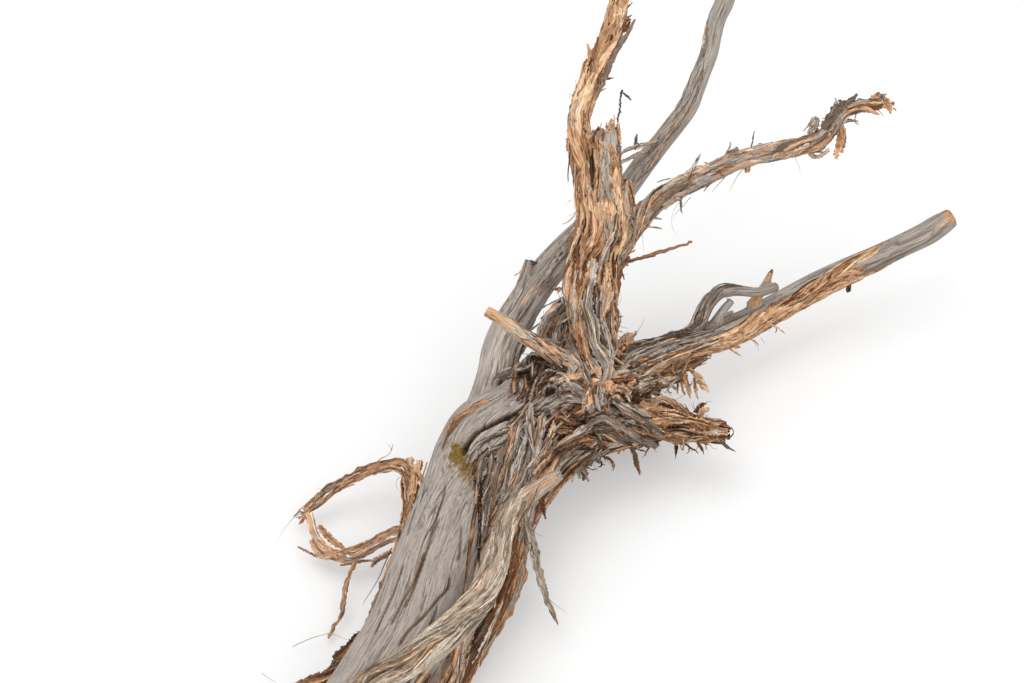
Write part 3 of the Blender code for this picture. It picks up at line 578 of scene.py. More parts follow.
# Thick strands grown over the knot: (bark, cream, dark), then points as x, y, z and width.
ROPES = [
    # stem
    ((0.05, 0.18, -0.14), ((-44, 65, 181, 7.8), (-47, 49, 170, 8.7), (-48, 33, 156, 10.4),
        (-45, 21, 145, 11.3), (-42, 11, 132, 10.4), (-33, 3, 121, 9.6), (-31, -10, 118, 7.8),
        (-35, -20, 114, 5.2))),
    ((0.85, 0.18, -0.04), ((-43, 67, 183, 7), (-48, 51, 172, 7.8), (-53, 38, 158, 7), (-55, 27, 145, 7),
        (-54, 15, 132, 7), (-49, 0, 125, 6.1), (-44, -12, 121, 3.5))),
    ((0.3, 0.15, 0.01), ((-54, 67, 178, 5.2), (-57, 54, 169, 6.1), (-60, 43, 156, 6.1), (-57, 31, 148, 7),
        (-60, 26, 139, 6.1), (-64, 27, 128, 2.6))),
    ((0.15, 0.27, -0.09), ((-62, 27, 129, 3.5), (-63, 18, 122, 5.3), (-58, -1, 127, 6.1),
        (-52, -14, 124, 6.1), (-46, -24, 116, 5.2), (-41, -29, 108, 2.6))),
    ((0.1, 0.21, -0.09), ((-33, 59, 174, 5.2), (-36, 43, 163, 7), (-37, 29, 150, 7), (-32, 19, 134, 7),
        (-28, 11, 120, 7), (-31, -8, 119, 6.1), (-38, -19, 116, 3.5))),
    ((0.8, 0.15, 0.01), ((-31, 66, 179, 5.2), (-31, 53, 169, 7), (-31, 41, 157, 7), (-35, 29, 149, 4.4))),
    ((0.45, 0.03, 0.26), ((-25, 66, 171, 5.2), (-26, 53, 158, 6.1), (-27, 39, 148, 6.1),
        (-27, 26, 134, 6.1), (-24, 19, 117, 5.3), (-28, 0, 118, 3.5))),
    ((0.25, 0.15, 0.01), ((-51, 17, 133, 3.5), (-46, 5, 125, 5.2), (-40, -9, 122, 6.1),
        (-38, -20, 117, 6.1), (-40, -30, 107, 4.3))),
    # lump
    ((0, 0.06, 0.41), ((-63, 45, 149, 4.4), (-71, 49, 135, 7), (-82, 39, 132, 7.9), (-87, 29, 126, 7),
        (-89, 23, 119, 4.4))),
    ((0, 0.03, 0.51), ((-62, 40, 145, 4.4), (-70, 41, 132, 7), (-75, 31, 130, 7.9), (-77, 21, 124, 7),
        (-82, 16, 119, 3.5))),
    ((0.1, 0.03, 0.61), ((-65, 36, 129, 4.4), (-70, 27, 123, 6.1), (-72, 13, 123, 5.2),
        (-69, 0, 126, 3.5))),
    # bed
    ((0, 0.09, 0.59), ((-153, -85, 88, 2.6), (-148, -74, 91, 4.3), (-141, -67, 93, 5.2),
        (-132, -62, 96, 5.2), (-122, -57, 98, 4.3), (-112, -53, 98, 2.6))),
    ((0, 0.03, 0.74), ((-149, -95, 86, 2.6), (-144, -84, 90, 4.3), (-137, -76, 92, 5.2),
        (-129, -70, 93, 5.2), (-118, -65, 94, 4.3), (-110, -61, 93, 2.6))),
    ((0.05, 0.12, 0.54), ((-146, -105, 83, 2.6), (-141, -94, 86, 5.1), (-135, -84, 88, 5.2),
        (-127, -78, 89, 5.2), (-117, -72, 88, 2.6))),
    ((0, 0.03, 0.79), ((-142, -116, 78, 2.6), (-139, -104, 81, 4.3), (-133, -93, 83, 5.2),
        (-126, -85, 84, 4.3), (-119, -79, 83, 2.6))),
    ((0.3, 0.06, 0.64), ((-138, -124, 71, 2.6), (-135, -111, 75, 4.3), (-130, -100, 77, 4.3),
        (-124, -90, 78, 2.6))),
    ((0, 0.06, 0.84), ((-150, -81, 88, 2.6), (-144, -71, 91, 3.4), (-136, -64, 93, 3.5),
        (-125, -59, 96, 3.5), (-116, -54, 96, 1.7))),
    # swirl
    ((0, 0.12, 0.59), ((-85, -31, 111, 2.6), (-87, -27, 116, 4.3), (-82, -24, 120, 5.2),
        (-75, -27, 119, 5.2), (-75, -33, 114, 5.2), (-82, -35, 110, 4.3), (-90, -31, 110, 2.6))),
    ((0.05, 0.09, 0.64), ((-98, -38, 106, 2.6), (-92, -36, 109, 5.2), (-82, -38, 110, 5.2),
        (-72, -38, 108, 5.2), (-66, -34, 111, 4.3), (-66, -29, 115, 2.6))),
    ((0.1, 0.06, 0.69), ((-98, -47, 101, 3.5), (-93, -43, 105, 5.2), (-83, -43, 106, 5.2),
        (-72, -40, 106, 5.2), (-66, -41, 104, 3.5))),
    ((0, 0.18, 0.49), ((-85, -11, 122, 2.6), (-78, -11, 125, 3.5), (-70, -15, 125, 4.3),
        (-65, -21, 122, 4.3), (-59, -27, 118, 4.3), (-57, -32, 110, 2.6))),
    ((0.35, 0.03, 0.79), ((-92, 2, 121, 2.6), (-84, -2, 124, 4.3), (-76, -8, 126, 4.3),
        (-66, -12, 124, 3.5))),
    ((0.05, 0.15, 0.54), ((-68, -22, 120, 2.6), (-63, -27, 119, 4.3), (-60, -31, 114, 4.3),
        (-64, -35, 108, 2.6))),
    ((0, 0.06, 0.64), ((-90, -14, 120, 2.6), (-94, -21, 118, 4.3), (-96, -28, 113, 5.2),
        (-98, -35, 108, 4.3), (-102, -41, 104, 2.6))),
    ((0.05, 0.06, 0.64), ((-83, -15, 122, 2.6), (-87, -20, 120, 4.3), (-91, -26, 116, 4.3),
        (-90, -31, 111, 2.6))),
    ((0.1, 0.09, 0.59), ((-72, -17, 122, 2.6), (-71, -25, 120, 4.3), (-68, -31, 115, 4.3),
        (-69, -35, 108, 2.6))),
    ((0, 0.09, 0.59), ((-89, 7, 121, 2.6), (-96, 15, 116, 4.4), (-100, 5, 118, 4.4), (-98, -4, 118, 2.6))),
    ((0, 0.09, 0.64), ((-93, 4, 120, 3.5), (-100, -2, 119, 4.4), (-110, -2, 114, 3.5))),
    # fall
    ((0.05, 0.09, 0.16), ((-91, -30, 110, 4.3), (-98, -40, 106, 7.8), (-98, -53, 99, 8.6),
        (-95, -66, 91, 7.8), (-93, -77, 83, 4.3))),
    ((0.25, 0.09, 0.21), ((-83, -36, 108, 4.3), (-88, -46, 103, 7.8), (-91, -61, 95, 8.6),
        (-98, -80, 84, 8.6), (-106, -102, 77, 6.9), (-114, -118, 72, 4.3))),
    ((0.6, 0.21, 0.06), ((-75, -39, 106, 3.5), (-77, -51, 102, 6), (-83, -65, 94, 6.9), (-90, -79, 83, 6),
        (-95, -91, 78, 3.4))),
    ((0.55, 0.06, 0.21), ((-111, -45, 101, 3.5), (-116, -64, 94, 6), (-123, -80, 86, 6.9),
        (-128, -96, 77, 6), (-133, -114, 68, 3.4))),
    ((0, 0.06, 0.26), ((-104, -42, 103, 3.5), (-109, -57, 98, 6), (-116, -76, 86, 6.9),
        (-122, -94, 74, 6.9), (-128, -116, 67, 3.4))),
    ((0, 0.15, 0.06), ((-98, -51, 98, 4.3), (-105, -67, 90, 8.6), (-111, -85, 80, 9.5),
        (-117, -102, 73, 7.7), (-123, -119, 67, 4.3))),
    ((0.6, 0, 0.41), ((-101, -61, 90, 3.5), (-106, -77, 83, 6.9), (-115, -95, 75, 7.7),
        (-123, -108, 69, 4.3))),
    ((0.05, 0.06, 0.21), ((-89, -62, 92, 3.5), (-97, -80, 84, 6.9), (-102, -94, 80, 6.9),
        (-109, -107, 75, 4.3))),
    ((0, 0.21, 0.06), ((-136, -96, 82, 2.6), (-137, -110, 78, 5.1), (-139, -125, 73, 6),
        (-140, -141, 69, 5.1), (-142, -156, 63, 2.5))),
    ((0.75, 0.15, 0.06), ((-125, -102, 70, 3.4), (-129, -114, 68, 6), (-131, -128, 65, 6),
        (-134, -143, 60, 3.4))),
    ((0.1, 0.03, 0.46), ((-143, -68, 92, 3.4), (-141, -84, 89, 5.2), (-143, -101, 84, 5.1),
        (-144, -121, 78, 3.4))),
    ((0.35, 0.03, 0.36), ((-133, -64, 94, 3.5), (-131, -80, 89, 6), (-133, -95, 82, 6),
        (-136, -111, 74, 3.4))),
    # tangle
    ((0.6, 0, 0.8), ((-77, -42, 104, 3.5), (-68, -45, 105, 6.1), (-59, -46, 102, 6.1),
        (-50, -40, 97, 3.5))),
    ((0.75, 0.03, 0.7), ((-79, -54, 98, 3.5), (-73, -49, 104, 6), (-65, -51, 102, 6), (-56, -50, 97, 3.5))),
    ((0.65, 0.06, 0.6), ((-85, -61, 93, 3.5), (-76, -56, 99, 6.9), (-66, -57, 98, 6.9),
        (-57, -56, 93, 4.3))),
    # rope
    ((0.35, 0.21, 0.55), ((-39, -35, 89, 4.4), (-48, -47, 94, 6.9), (-57, -58, 95, 7.8),
        (-67, -64, 93, 7.8), (-79, -71, 89, 7.8), (-88, -79, 82, 6.9), (-95, -89, 79, 4.3))),
    ((0.7, 0.03, 0.7), ((-48, -53, 88, 4.3), (-58, -61, 89, 6.9), (-68, -68, 87, 6.9), (-79, -75, 83, 6.9),
        (-87, -84, 78, 4.3))),
    ((0, 0.12, 0.5), ((-52, -51, 94, 5.2), (-44, -41, 93, 8.7), (-35, -36, 89, 9.6), (-24, -36, 80, 9.6),
        (-11, -39, 71, 9.6), (1, -37, 58, 7.9), (14, -32, 43, 4.4))),
    ((0.15, 0.06, 0.6), ((-60, -58, 93, 4.3), (-52, -53, 94, 7.8), (-40, -44, 83, 8.7), (-28, -42, 76, 8.7),
        (-17, -42, 66, 7.9), (-4, -35, 49, 4.4))),
    ((0.65, 0.06, 0.55), ((-59, -62, 86, 4.3), (-50, -58, 86, 6.9), (-38, -48, 73, 7), (-26, -45, 67, 7),
        (-13, -40, 53, 4.4))),
    ((0.55, 0, 0.8), ((-57, -64, 81, 3.5), (-46, -58, 77, 6.1), (-34, -49, 63, 6.1), (-23, -43, 54, 3.5))),
    # disc
    ((0.55, 0.03, 0.4), ((-30, -23, 109, 3.5), (-23, -19, 109, 6.1), (-15, -18, 103, 6.1),
        (-11, -20, 93, 5.2), (-14, -24, 87, 3.5))),
    ((0.45, 0.06, 0.35), ((-30, -27, 103, 3.5), (-24, -24, 105, 5.2), (-19, -23, 101, 5.2),
        (-17, -24, 93, 3.5))),
    ((0.1, 0.18, 0.25), ((-34, -20, 114, 3.5), (-36, -27, 111, 6.1), (-38, -32, 105, 6.1),
        (-42, -36, 93, 3.5))),
    # low
    ((0.2, 0.15, 0.34), ((-27, -27, 101, 5.2), (-18, -27, 92, 8.7), (-5, -27, 78, 10.5), (8, -30, 65, 10.6),
        (24, -28, 49, 8), (39, -30, 47, 4.4))),
    ((0.6, 0.27, 0.24), ((-16, -25, 84, 3.5), (-4, -19, 77, 6.2), (8, -11, 74, 7.1), (18, -1, 71, 6.2),
        (27, -4, 69, 6.2), (35, -11, 67, 3.5))),
    ((0.85, 0.12, 0.24), ((-7, -27, 76, 5.3), (8, -26, 70, 8.8), (23, -24, 70, 8.8), (38, -24, 69, 8.8),
        (52, -25, 67, 7.1), (64, -27, 64, 4.4))),
    ((0.7, 0.03, 0.54), ((-5, -35, 69, 4.4), (10, -25, 49, 7.1), (25, -30, 60, 7.1), (43, -32, 61, 7.1),
        (59, -33, 60, 4.4))),
    ((0.75, 0.09, 0.34), ((6, -16, 72, 4.4), (18, -18, 72, 7.9), (32, -19, 71, 8.8), (47, -22, 68, 7.1),
        (59, -24, 66, 4.4))),
    ((0.6, 0.27, 0.04), ((43, -28, 65, 4.4), (54, -30, 66, 7.9), (66, -30, 64, 8.8), (76, -29, 62, 6.2))),
    # root
    ((0, 0.03, 0.53), ((-23, -3, 115, 4.4), (-12, 28, 98, 7.1), (2, 44, 91, 8), (19, 57, 83, 8.1),
        (38, 66, 78, 7.2), (55, 75, 73, 4.5))),
    ((0, 0.09, 0.28), ((-20, -1, 113, 4.4), (-6, 27, 95, 8.9), (14, 43, 87, 9.8), (35, 59, 79, 9),
        (56, 71, 73, 8.2), (77, 86, 67, 4.6))),
    ((0.55, 0.12, 0.28), ((-11, -8, 104, 4.4), (4, 23, 79, 8), (20, 35, 77, 8.9), (39, 50, 73, 9),
        (58, 64, 67, 8.1), (79, 78, 63, 4.6))),
    ((0.3, 0.06, 0.43), ((-13, -15, 102, 4.4), (0, -3, 94, 7), (17, 29, 64, 8.1), (34, 42, 58, 7.2),
        (50, 56, 50, 6.4), (63, 67, 47, 3.6))),
    ((0.7, 0.03, 0.43), ((-2, -9, 92, 3.5), (15, 24, 59, 5.4), (30, 33, 56, 5.4), (45, 46, 50, 3.6))),
    ((0.25, 0.18, 0.23), ((-16, -6, 110, 3.5), (0, 23, 89, 5.3), (18, 38, 82, 5.4), (39, 54, 76, 5.4),
        (60, 68, 68, 3.6))),
]

# Hairs listed one by one: (bark, cream, dark), thickness, then points as x, y and z.
HAIRS = [
    ((0.3, 0.1, 0.2), 0.5, ((-298, -84, 17), (-308, -90, 13), (-316, -100, 9), (-322, -112, 6))),
    ((0.3, 0.1, 0.2), 0.4, ((-301, -80, 17), (-305, -86, 13), (-310, -87, 10))),
    ((0.3, 0.1, 0.4), 0.5, ((-275, -66, 28), (-282, -66, 26), (-288, -64, 24))),
    ((0.5, 0.1, 0.3), 1, ((-235, -55, 48), (-229, -52, 52), (-223, -50, 55), (-220, -46, 58),
        (-224, -41, 60))),
    ((0.5, 0.1, 0.3), 0.8, ((-220, -47, 58), (-219, -44, 60), (-220, -42, 61))),
    ((0.4, 0.1, 0.3), 0.5, ((-211, -73, 54), (-215, -76, 52), (-214, -83, 50), (-210, -86, 48),
        (-213, -87, 46))),
    ((0.3, 0.2, 0), 0.7, ((-300, -219, 8), (-291, -214, 9), (-281, -210, 10), (-269, -207, 10),
        (-257, -213, 12), (-250, -217, 14))),
    ((0.3, 0.1, 0.6), 1.2, ((-218, -132, 30), (-223, -144, 26), (-228, -157, 22), (-234, -166, 17),
        (-240, -174, 12), (-243, -180, 9))),
    ((0.3, 0.1, 0.3), 0.5, ((-325, -244, 6), (-319, -249, 7), (-311, -256, 9))),
    ((0.3, 0.1, 0.3), 0.6, ((-86, -184, 36), (-80, -189, 31), (-73, -192, 26), (-66, -195, 22))),
    ((0.3, 0.1, 0.6), 0.5, ((-100, -141, 72), (-94, -143, 68), (-87, -145, 64))),
    ((0.3, 0.1, 0.4), 0.4, ((-99, -148, 70), (-93, -154, 65), (-89, -158, 61))),
    ((0.1, 0.1, 0.6), 0.6, ((43, 124, 200), (37, 118, 196), (30, 112, 192), (27, 106, 189))),
    ((0.1, 0.1, 0.5), 0.4, ((34, 124, 196), (27, 113, 190), (27, 102, 184), (32, 94, 180))),
    ((0.4, 0.1, 0.4), 0.9, ((75, 146, 204), (70, 141, 201), (65, 136, 198), (62, 133, 196))),
    ((0.4, 0.1, 0.4), 0.8, ((92, 156, 204), (86, 150, 200), (82, 144, 196), (78, 138, 192))),
    ((0.3, 0.1, 0.4), 0.6, ((136, 169, 216), (137, 160, 212), (140, 154, 208), (141, 147, 205))),
    ((0.2, 0.2, 0.3), 0.4, ((1, 99, 178), (1, 92, 174), (2, 86, 170))),
    ((0.1, 0.1, 0.6), 0.5, ((-69, 64, 150), (-71, 57, 145), (-74, 49, 140))),
    ((0.5, 0.1, 0.4), 0.6, ((54, 5, 60), (50, -2, 58), (45, 6, 56))),
    ((0.4, 0.1, 0.4), 0.7, ((49, -11, 66), (47, -7, 70), (46, -4, 73))),
    ((0.4, 0.1, 0.5), 0.7, ((54, -8, 68), (58, -5, 72), (60, -5, 74), (63, -7, 75))),
    ((0.4, 0.1, 0.4), 0.7, ((46, 28, 58), (40, 16, 58), (33, 10, 58), (27, 8, 58))),
    ((0.4, 0.1, 0.4), 0.6, ((41, -38, 56), (44, -41, 52), (45, -45, 50))),
    ((0.4, 0.1, 0.4), 0.6, ((59, -35, 56), (62, -40, 53), (68, -41, 51))),
    ((0.4, 0.1, 0.4), 0.5, ((55, -35, 56), (58, -41, 52), (60, -43, 50))),
    ((0.4, 0.1, 0.4), 0.5, ((-71, 67, 128), (-73, 74, 130), (-75, 82, 132))),
    ((0.1, 0.1, 0.5), 0.6, ((-85, 41, 128), (-86, 48, 131), (-87, 52, 134))),
    ((0.3, 0.1, 0.4), 0.5, ((-3, 60, 86), (2, 68, 92), (6, 75, 97))),
    ((0.4, 0.1, 0.4), 0.5, ((108, 98, 36), (112, 93, 33), (115, 90, 29))),
    ((0.4, 0.1, 0.4), 0.5, ((116, 101, 35), (119, 98, 33), (121, 95, 31))),
    ((0.5, 0.1, 0.3), 0.5, ((-62, 121, 200), (-66, 118, 198), (-68, 116, 197))),
    ((0.5, 0.1, 0.3), 0.5, ((-62, 81, 178), (-67, 75, 174), (-70, 73, 171))),
    ((0.5, 0.1, 0.3), 0.5, ((-62, 172, 240), (-67, 167, 238), (-69, 163, 236))),
]

# What each limb is like: coarse and fine grooves, lumps and swirl of the wood,
# then how much bark, cream and dark it carries, then how much that varies. The dark is partly weathered
# stain and partly painted shade in the gaps between shreds.
LOOKS = {
    "trunk": ((0.0, 0.3, 1.1, 0.08), (0.0, 0.06, 0.0), 0.12),
    "ridge": ((0.3, 0.5, 1.6, 0.1), (0.05, 0.12, 0.0), 0.2),
    "left_branch": ((0.2, 0.45, 1.8, 0.1), (0.02, 0.14, -0.15), 0.2),
    "end_left": ((1.0, 0.8, 2.0, 0.2), (0.2, 0.1, 0.1), 0.3),
    "end_top": ((1.0, 0.8, 2.0, 0.2), (0.1, 0.1, 0.1), 0.3),
    "end_right": ((1.0, 0.8, 2.0, 0.2), (0.3, 0.1, 0.2), 0.3),
    "trunk_low": ((2.6, 1.4, 3.5, 0.25), (0.35, 0.0, 0.65), 0.5),
    "bundle": ((2.6, 1.4, 3.5, 0.25), (0.35, 0.05, 0.6), 0.6),
    "knot": ((3.0, 1.8, 6.0, 1.2), (0.15, 0.05, 0.6), 0.5),
    "knot_low": ((3.0, 1.6, 5.0, 0.7), (0.3, 0.05, 0.6), 0.6),
    "foot_right": ((2.6, 1.4, 4.0, 0.4), (0.4, 0.05, 0.3), 0.4),
    "foot_back": ((2.6, 1.4, 4.0, 0.4), (0.3, 0.05, 0.3), 0.4),
    "stub_low_right": ((2.4, 1.3, 3.5, 0.3), (0.6, 0.05, 0.25), 0.5),
    "stem": ((2.2, 1.3, 4.0, 0.35), (0.4, 0.1, 0.1), 0.7),
    "lump": ((2.8, 1.4, 4.0, 0.3), (0.05, 0.0, 0.6), 0.3),
    "brown": ((1.2, 0.8, 2.5, 0.15), (0.85, 0.2, 0.0), 0.35),
    "stub_mid": ((1.2, 0.9, 2.0, 0.15), (0.25, 0.2, 0.0), 0.5),
    "stub_right": ((1.4, 1.0, 2.0, 0.2), (0.7, 0.05, 0.1), 0.3),
    "upper_right": ((1.6, 1.0, 3.0, 0.2), (0.25, 0.1, 0.1), 0.6),
    "right_branch": ((1.3, 0.9, 2.5, 0.15), (0.0, 0.08, 0.05), 0.3),
    "right_low": ((2.0, 1.2, 3.0, 0.4), (0.5, 0.1, 0.3), 0.5),
    "cream": ((2.4, 1.4, 5.0, 0.3), (0.05, 0.5, 0.1), 0.6),
    "hook": ((0.9, 0.7, 1.6, 0.15), (0.0, 0.05, 0.2), 0.25),
    "hook_twig": ((0.6, 0.5, 1.2, 0.1), (0.1, 0.25, 0.0), 0.2),
    "cross_twig": ((0.9, 0.9, 1.6, 0.25), (0.25, 0.45, -0.15), 0.6),
    "stub_left": ((0.6, 0.5, 1.0, 0.1), (0.0, 0.1, 0.1), 0.2),
    "splinter_up": ((0.8, 0.6, 1.0, 0.1), (0.5, 0.2, 0.0), 0.4),
}


# Numbers that scramble a place and a seed into a random number.
HASH_X, HASH_Y, HASH_Z = 374761393, 668265263, 1274126177
HASH_SEED = 144269504
HASH_MIX = 1103515245
HASH_BITS = 2**32 - 1


def noise(points, seed):
    """Smooth random field between 0 and 1, with one random number at each whole-number place."""
    cell = np.floor(points).astype(np.int64)
    part = points - cell
    part = part * part * (3 - 2 * part)
    total = np.zeros(len(points))
    for corner in range(8):
        step = np.array([corner & 1, corner >> 1 & 1, corner >> 2 & 1])
        share = np.prod(np.where(step, part, 1 - part), axis=1)
        x, y, z = (cell + step).T
        mixed = (x * HASH_X + y * HASH_Y + z * HASH_Z + seed * HASH_SEED) & HASH_BITS
        mixed = ((mixed ^ (mixed >> 13)) * HASH_MIX) & HASH_BITS
        total += share * (mixed ^ (mixed >> 16)) / (HASH_BITS + 1)
    return total


def grain_noise(grain, across, along, seed):
    """Noise stretched along the grain: across and along are its patch sizes in millimetres."""
    return noise(grain / (np.array([across, across, along]) * MM), seed)


def ramp(value, low, high):
    """0 at low and beyond, 1 at high and beyond, smooth between them."""
    share = np.clip((value - low) / (high - low), 0, 1)
    return share * share * (3 - 2 * share)


def unit(vectors):
    """Vectors of length 1, pointing the same way."""
    return vectors / np.maximum(np.linalg.norm(vectors, axis=-1, keepdims=True), 1e-12)


def smooth_line(rows, step):
    """Points of the smooth curve through the rows, about one per step, with every column carried along."""
    rows = np.array(rows, float)
    rows = np.vstack([2 * rows[0] - rows[1], rows, 2 * rows[-1] - rows[-2]])
    line = []
    for a, b, c, d in zip(rows, rows[1:], rows[2:], rows[3:]):
        count = max(2, math.ceil(np.linalg.norm((c - b)[:3]) / step))
        t = np.arange(count)[:, None] / count
        line.append(
            0.5 * (2 * b + (c - a) * t + (2 * a - 5 * b + 4 * c - d) * t**2 + (3 * b - a - 3 * c + d) * t**3)
        )
    return np.vstack([*line, rows[-2]])


class Limb:
    """A run of wood: samples along its centreline, each with a radius and a frame of its own."""

    def __init__(self, name, rows, number):
        self.name = name
        self.number = number
        line = smooth_line(np.array(rows) * MM, SAMPLE_STEP)
        self.at = line[:, :3]
        self.radius = np.maximum(line[:, 3], THINNEST)
        gaps = np.linalg.norm(np.diff(self.at, axis=0), axis=1)
        self.run = np.concatenate([[0], np.cumsum(gaps)])
        self.length = self.run[-1]
        self.along = unit(np.gradient(self.at, self.run, axis=0))
        self.crest = unit(CREST - (self.along @ CREST)[:, None] * self.along)
        self.side = np.cross(self.along, self.crest)

    def read(self, table, run):
        """A column of the samples, read between them at the given runs."""
        if table.ndim == 1:
            return np.interp(run, self.run, table)
        return np.stack([np.interp(run, self.run, column) for column in table.T], axis=-1)

    def place(self, run, angle, out=0.0):
        """Points on the limb's round surface. A run past an end carries straight on."""
        past = run - np.clip(run, 0, self.length)
        reach = (self.read(self.radius, run) + out)[..., None]
        centre = self.read(self.at, run) + past[..., None] * self.read(self.along, run)
        turn = np.cos(angle)[..., None] * self.read(self.crest, run)
        return centre + reach * (turn + np.sin(angle)[..., None] * self.read(self.side, run))

    def measure(self, points):
        """Distance outside the limb, the way out, and the grain coordinates of each point."""
        squares = (points**2).sum(1)[:, None] - 2 * points @ self.at.T + (self.at**2).sum(1)
        run = self.run[squares.argmin(1)]
        for _ in range(2):
            run = run + ((points - self.read(self.at, run)) * self.read(self.along, run)).sum(1)
            run = np.clip(run, 0, self.length)
        away = points - self.read(self.at, run)
        along = self.read(self.along, run)
        past = (away * along).sum(1)
        radial = away - past[:, None] * along
        wide = np.maximum(np.linalg.norm(radial, axis=1), 1e-9)
        radius = self.read(self.radius, run)
        sideways = wide - radius
        endways = np.abs(past) - BLUNT_END * radius
        capped = (np.abs(past) > 1e-6) & (endways > sideways)
        outward = np.where(capped[:, None], np.sign(past)[:, None] * along, radial / wide[:, None])
        up = (radial * self.read(self.crest, run)).sum(1)
        aside = (radial * self.read(self.side, run)).sum(1)
        grain = np.stack([up, aside, run + past], axis=1)
        return np.where(capped, endways, sideways), outward, grain


LIMB = {name: Limb(name, rows, number) for number, (name, rows) in enumerate(LIMBS.items())}


class Body:
    """All limbs as one: how far points are outside it, which way is out, and each limb's share in them."""

    FAR = 30 * MM  # points farther outside a limb aren't measured against it
    CUT = 60 * MM  # distances are clipped to this before they are blended
    NOWHERE = 0.1  # distance that stands for no limb near
    LEAST_SHARE = 0.02  # a limb with a smaller share in a point gives it nothing

    def __init__(self, points):
        self.count = len(points)
        self.parts = []
        for group, (blend, names) in enumerate(GROUPS.values()):
            for name in names:
                limb = LIMB[name]
                room = limb.radius.max() + self.FAR
                low, high = limb.at.min(0) - room, limb.at.max(0) + room
                near = np.flatnonzero(((points > low) & (points < high)).all(1))
                if len(near):
                    self.parts.append((limb, group, near, *limb.measure(points[near])))
        self.weigh()

    def weigh(self):
        """Works out the distance outside the wood, the way out, and each limb's share in each point."""
        blends = [blend for blend, names in GROUPS.values()]
        level = np.empty((len(blends), self.count))
        for group, blend in enumerate(blends):
            total = np.full(self.count, 1e-300)
            for limb, own, near, gap, out, grain in self.parts:
                if own == group:
                    total[near] += np.exp(-np.clip(gap, -self.CUT, self.CUT) / blend)
            level[group] = -blend * np.log(total)
        level = np.clip(level, -self.NOWHERE, self.NOWHERE)
        lowest = level.min(0)
        pull = np.exp(-(level - lowest) / GROUP_BLEND)
        self.gap = lowest - GROUP_BLEND * np.log(pull.sum(0))
        pull /= pull.sum(0)
        self.shares = []
        self.out = np.zeros((self.count, 3))
        for limb, group, near, gap, out, grain in self.parts:
            share = pull[group, near] * np.exp(-np.clip((gap - level[group, near]) / blends[group], -5, 60))
            self.shares.append(share)
            np.add.at(self.out, near, share[:, None] * out)
        self.out = unit(self.out)

    def gather(self, make, width):
        """What make(limb, grain) gives for each limb, mixed by the limbs' shares in each point."""
        total = np.zeros((self.count, width))
        for (limb, group, near, gap, out, grain), share in zip(self.parts, self.shares):
            real = np.flatnonzero(share > self.LEAST_SHARE)
            if len(real):
                values = make(limb, grain[real]).reshape(len(real), width)
                np.add.at(total, near[real], share[real, None] * values)
        return total

    def draw_in(self, points, inside, outside):
        """The points moved to the surface, by no more than these distances from inside and from outside."""
        return points - np.clip(self.gap, -inside, outside)[:, None] * self.out

    def owners(self):
        """The number of the limb that each point belongs to most."""
        best = np.zeros(self.count)
        number = np.zeros(self.count, int)
        for (limb, group, near, *_), share in zip(self.parts, self.shares):
            won = share > best[near]
            best[near[won]] = share[won]
            number[near[won]] = limb.number
        return number


SETTLE = (6 * MM, 12 * MM)  # longest moves outwards and inwards in one pass
CLING = (4 * MM, 1.5 * MM)  # the same for lines that follow the wood


def settle(points, passes):
    """Moves points onto the wood's surface. Gives the points and the body measured there."""
    for _ in range(passes):
        points = Body(points).draw_in(points, *SETTLE)
    return points, Body(points)


# Marks carved into the skin: limb, place, size across and along the grain, depth.
MARKS = [
    ("trunk", (-190, -144, 79), 3, 5, 5),
    ("trunk", (-194, -141, 78), 2, 9, 2),
    ("trunk", (-151, -175, 66), 1.8, 14, 5),
    ("left_branch", (-103, 94, 111), 4, 26, 2.5),
    ("left_branch", (-92, 99, 111), 3, 16, 2.5),
    ("left_branch", (-98, 80, 105), 3, 20, 2.5),
    ("left_branch", (-105, 69, 101), 3, 10, 4),
    ("left_branch", (-114, 41, 94), 2, 6, 3),
    ("left_branch", (-137, 34, 93), 2, 8, 2),
    ("knot", (-82, -25, 110), 5, 5, 9),
    ("knot", (-71, -36, 101), 7, 8, 7),
    ("knot", (-59, -32, 103), 5, 8, 7),
    ("knot", (-90, -18, 115), 4, 6, 6),
    ("knot", (-76, -12, 120), 4, 6, 6),
    ("knot", (-29, -24, 96), 4, 7, 10),
    ("knot", (-27, -13, 108), 6, 8, 8),
    ("stem", (-64, 32, 120), 8, 16, 9),
    ("stem", (-68, 17, 118), 7, 10, 9),
    ("stem", (-40, 12, 122), 4, 12, 8),
    ("stem", (-38, 72, 182), 2.5, 26, 5),
    ("stem", (-46, 67, 179), 2.5, 20, 4),
    ("stem", (-26, 21, 121), 3, 18, 5),
    ("brown", (-46, 140, 218), 1.6, 14, 3),
    ("brown", (-34, 222, 282), 2, 8, 4),
    ("brown", (-51, 174, 248), 1.6, 12, 3),
    ("right_branch", (-8, 5, 100), 5, 16, 9),
    ("right_branch", (14, 45, 82), 2.5, 26, 5),
    ("right_branch", (56, 67, 66), 2, 30, 4),
    ("right_branch", (109, 101, 58), 2, 22, 4),
    ("right_branch", (171, 141, 64), 2, 6, 3),
    ("right_branch", (215, 159, 72), 2, 6, 3),
    ("right_branch", (242, 170, 77), 2, 5, 3),
    ("stub_low_right", (52, -28, 62), 4, 16, 4),
    ("stub_low_right", (63, -24, 63), 3, 9, 4),
    ("stub_low_right", (17, -23, 63), 3, 20, 5),
]


def carved(limb, grain):
    """How deep the limb's marks are cut at these places."""
    depth = np.zeros(len(grain))
    for name, place, across, along, deep in MARKS:
        if name == limb.name:
            _, _, mark = limb.measure(np.array([place]) * MM)
            away = (grain - mark) / (np.array([across, across, along]) * MM)
            depth += deep * MM * np.exp(-(away**2).sum(1))
    return depth


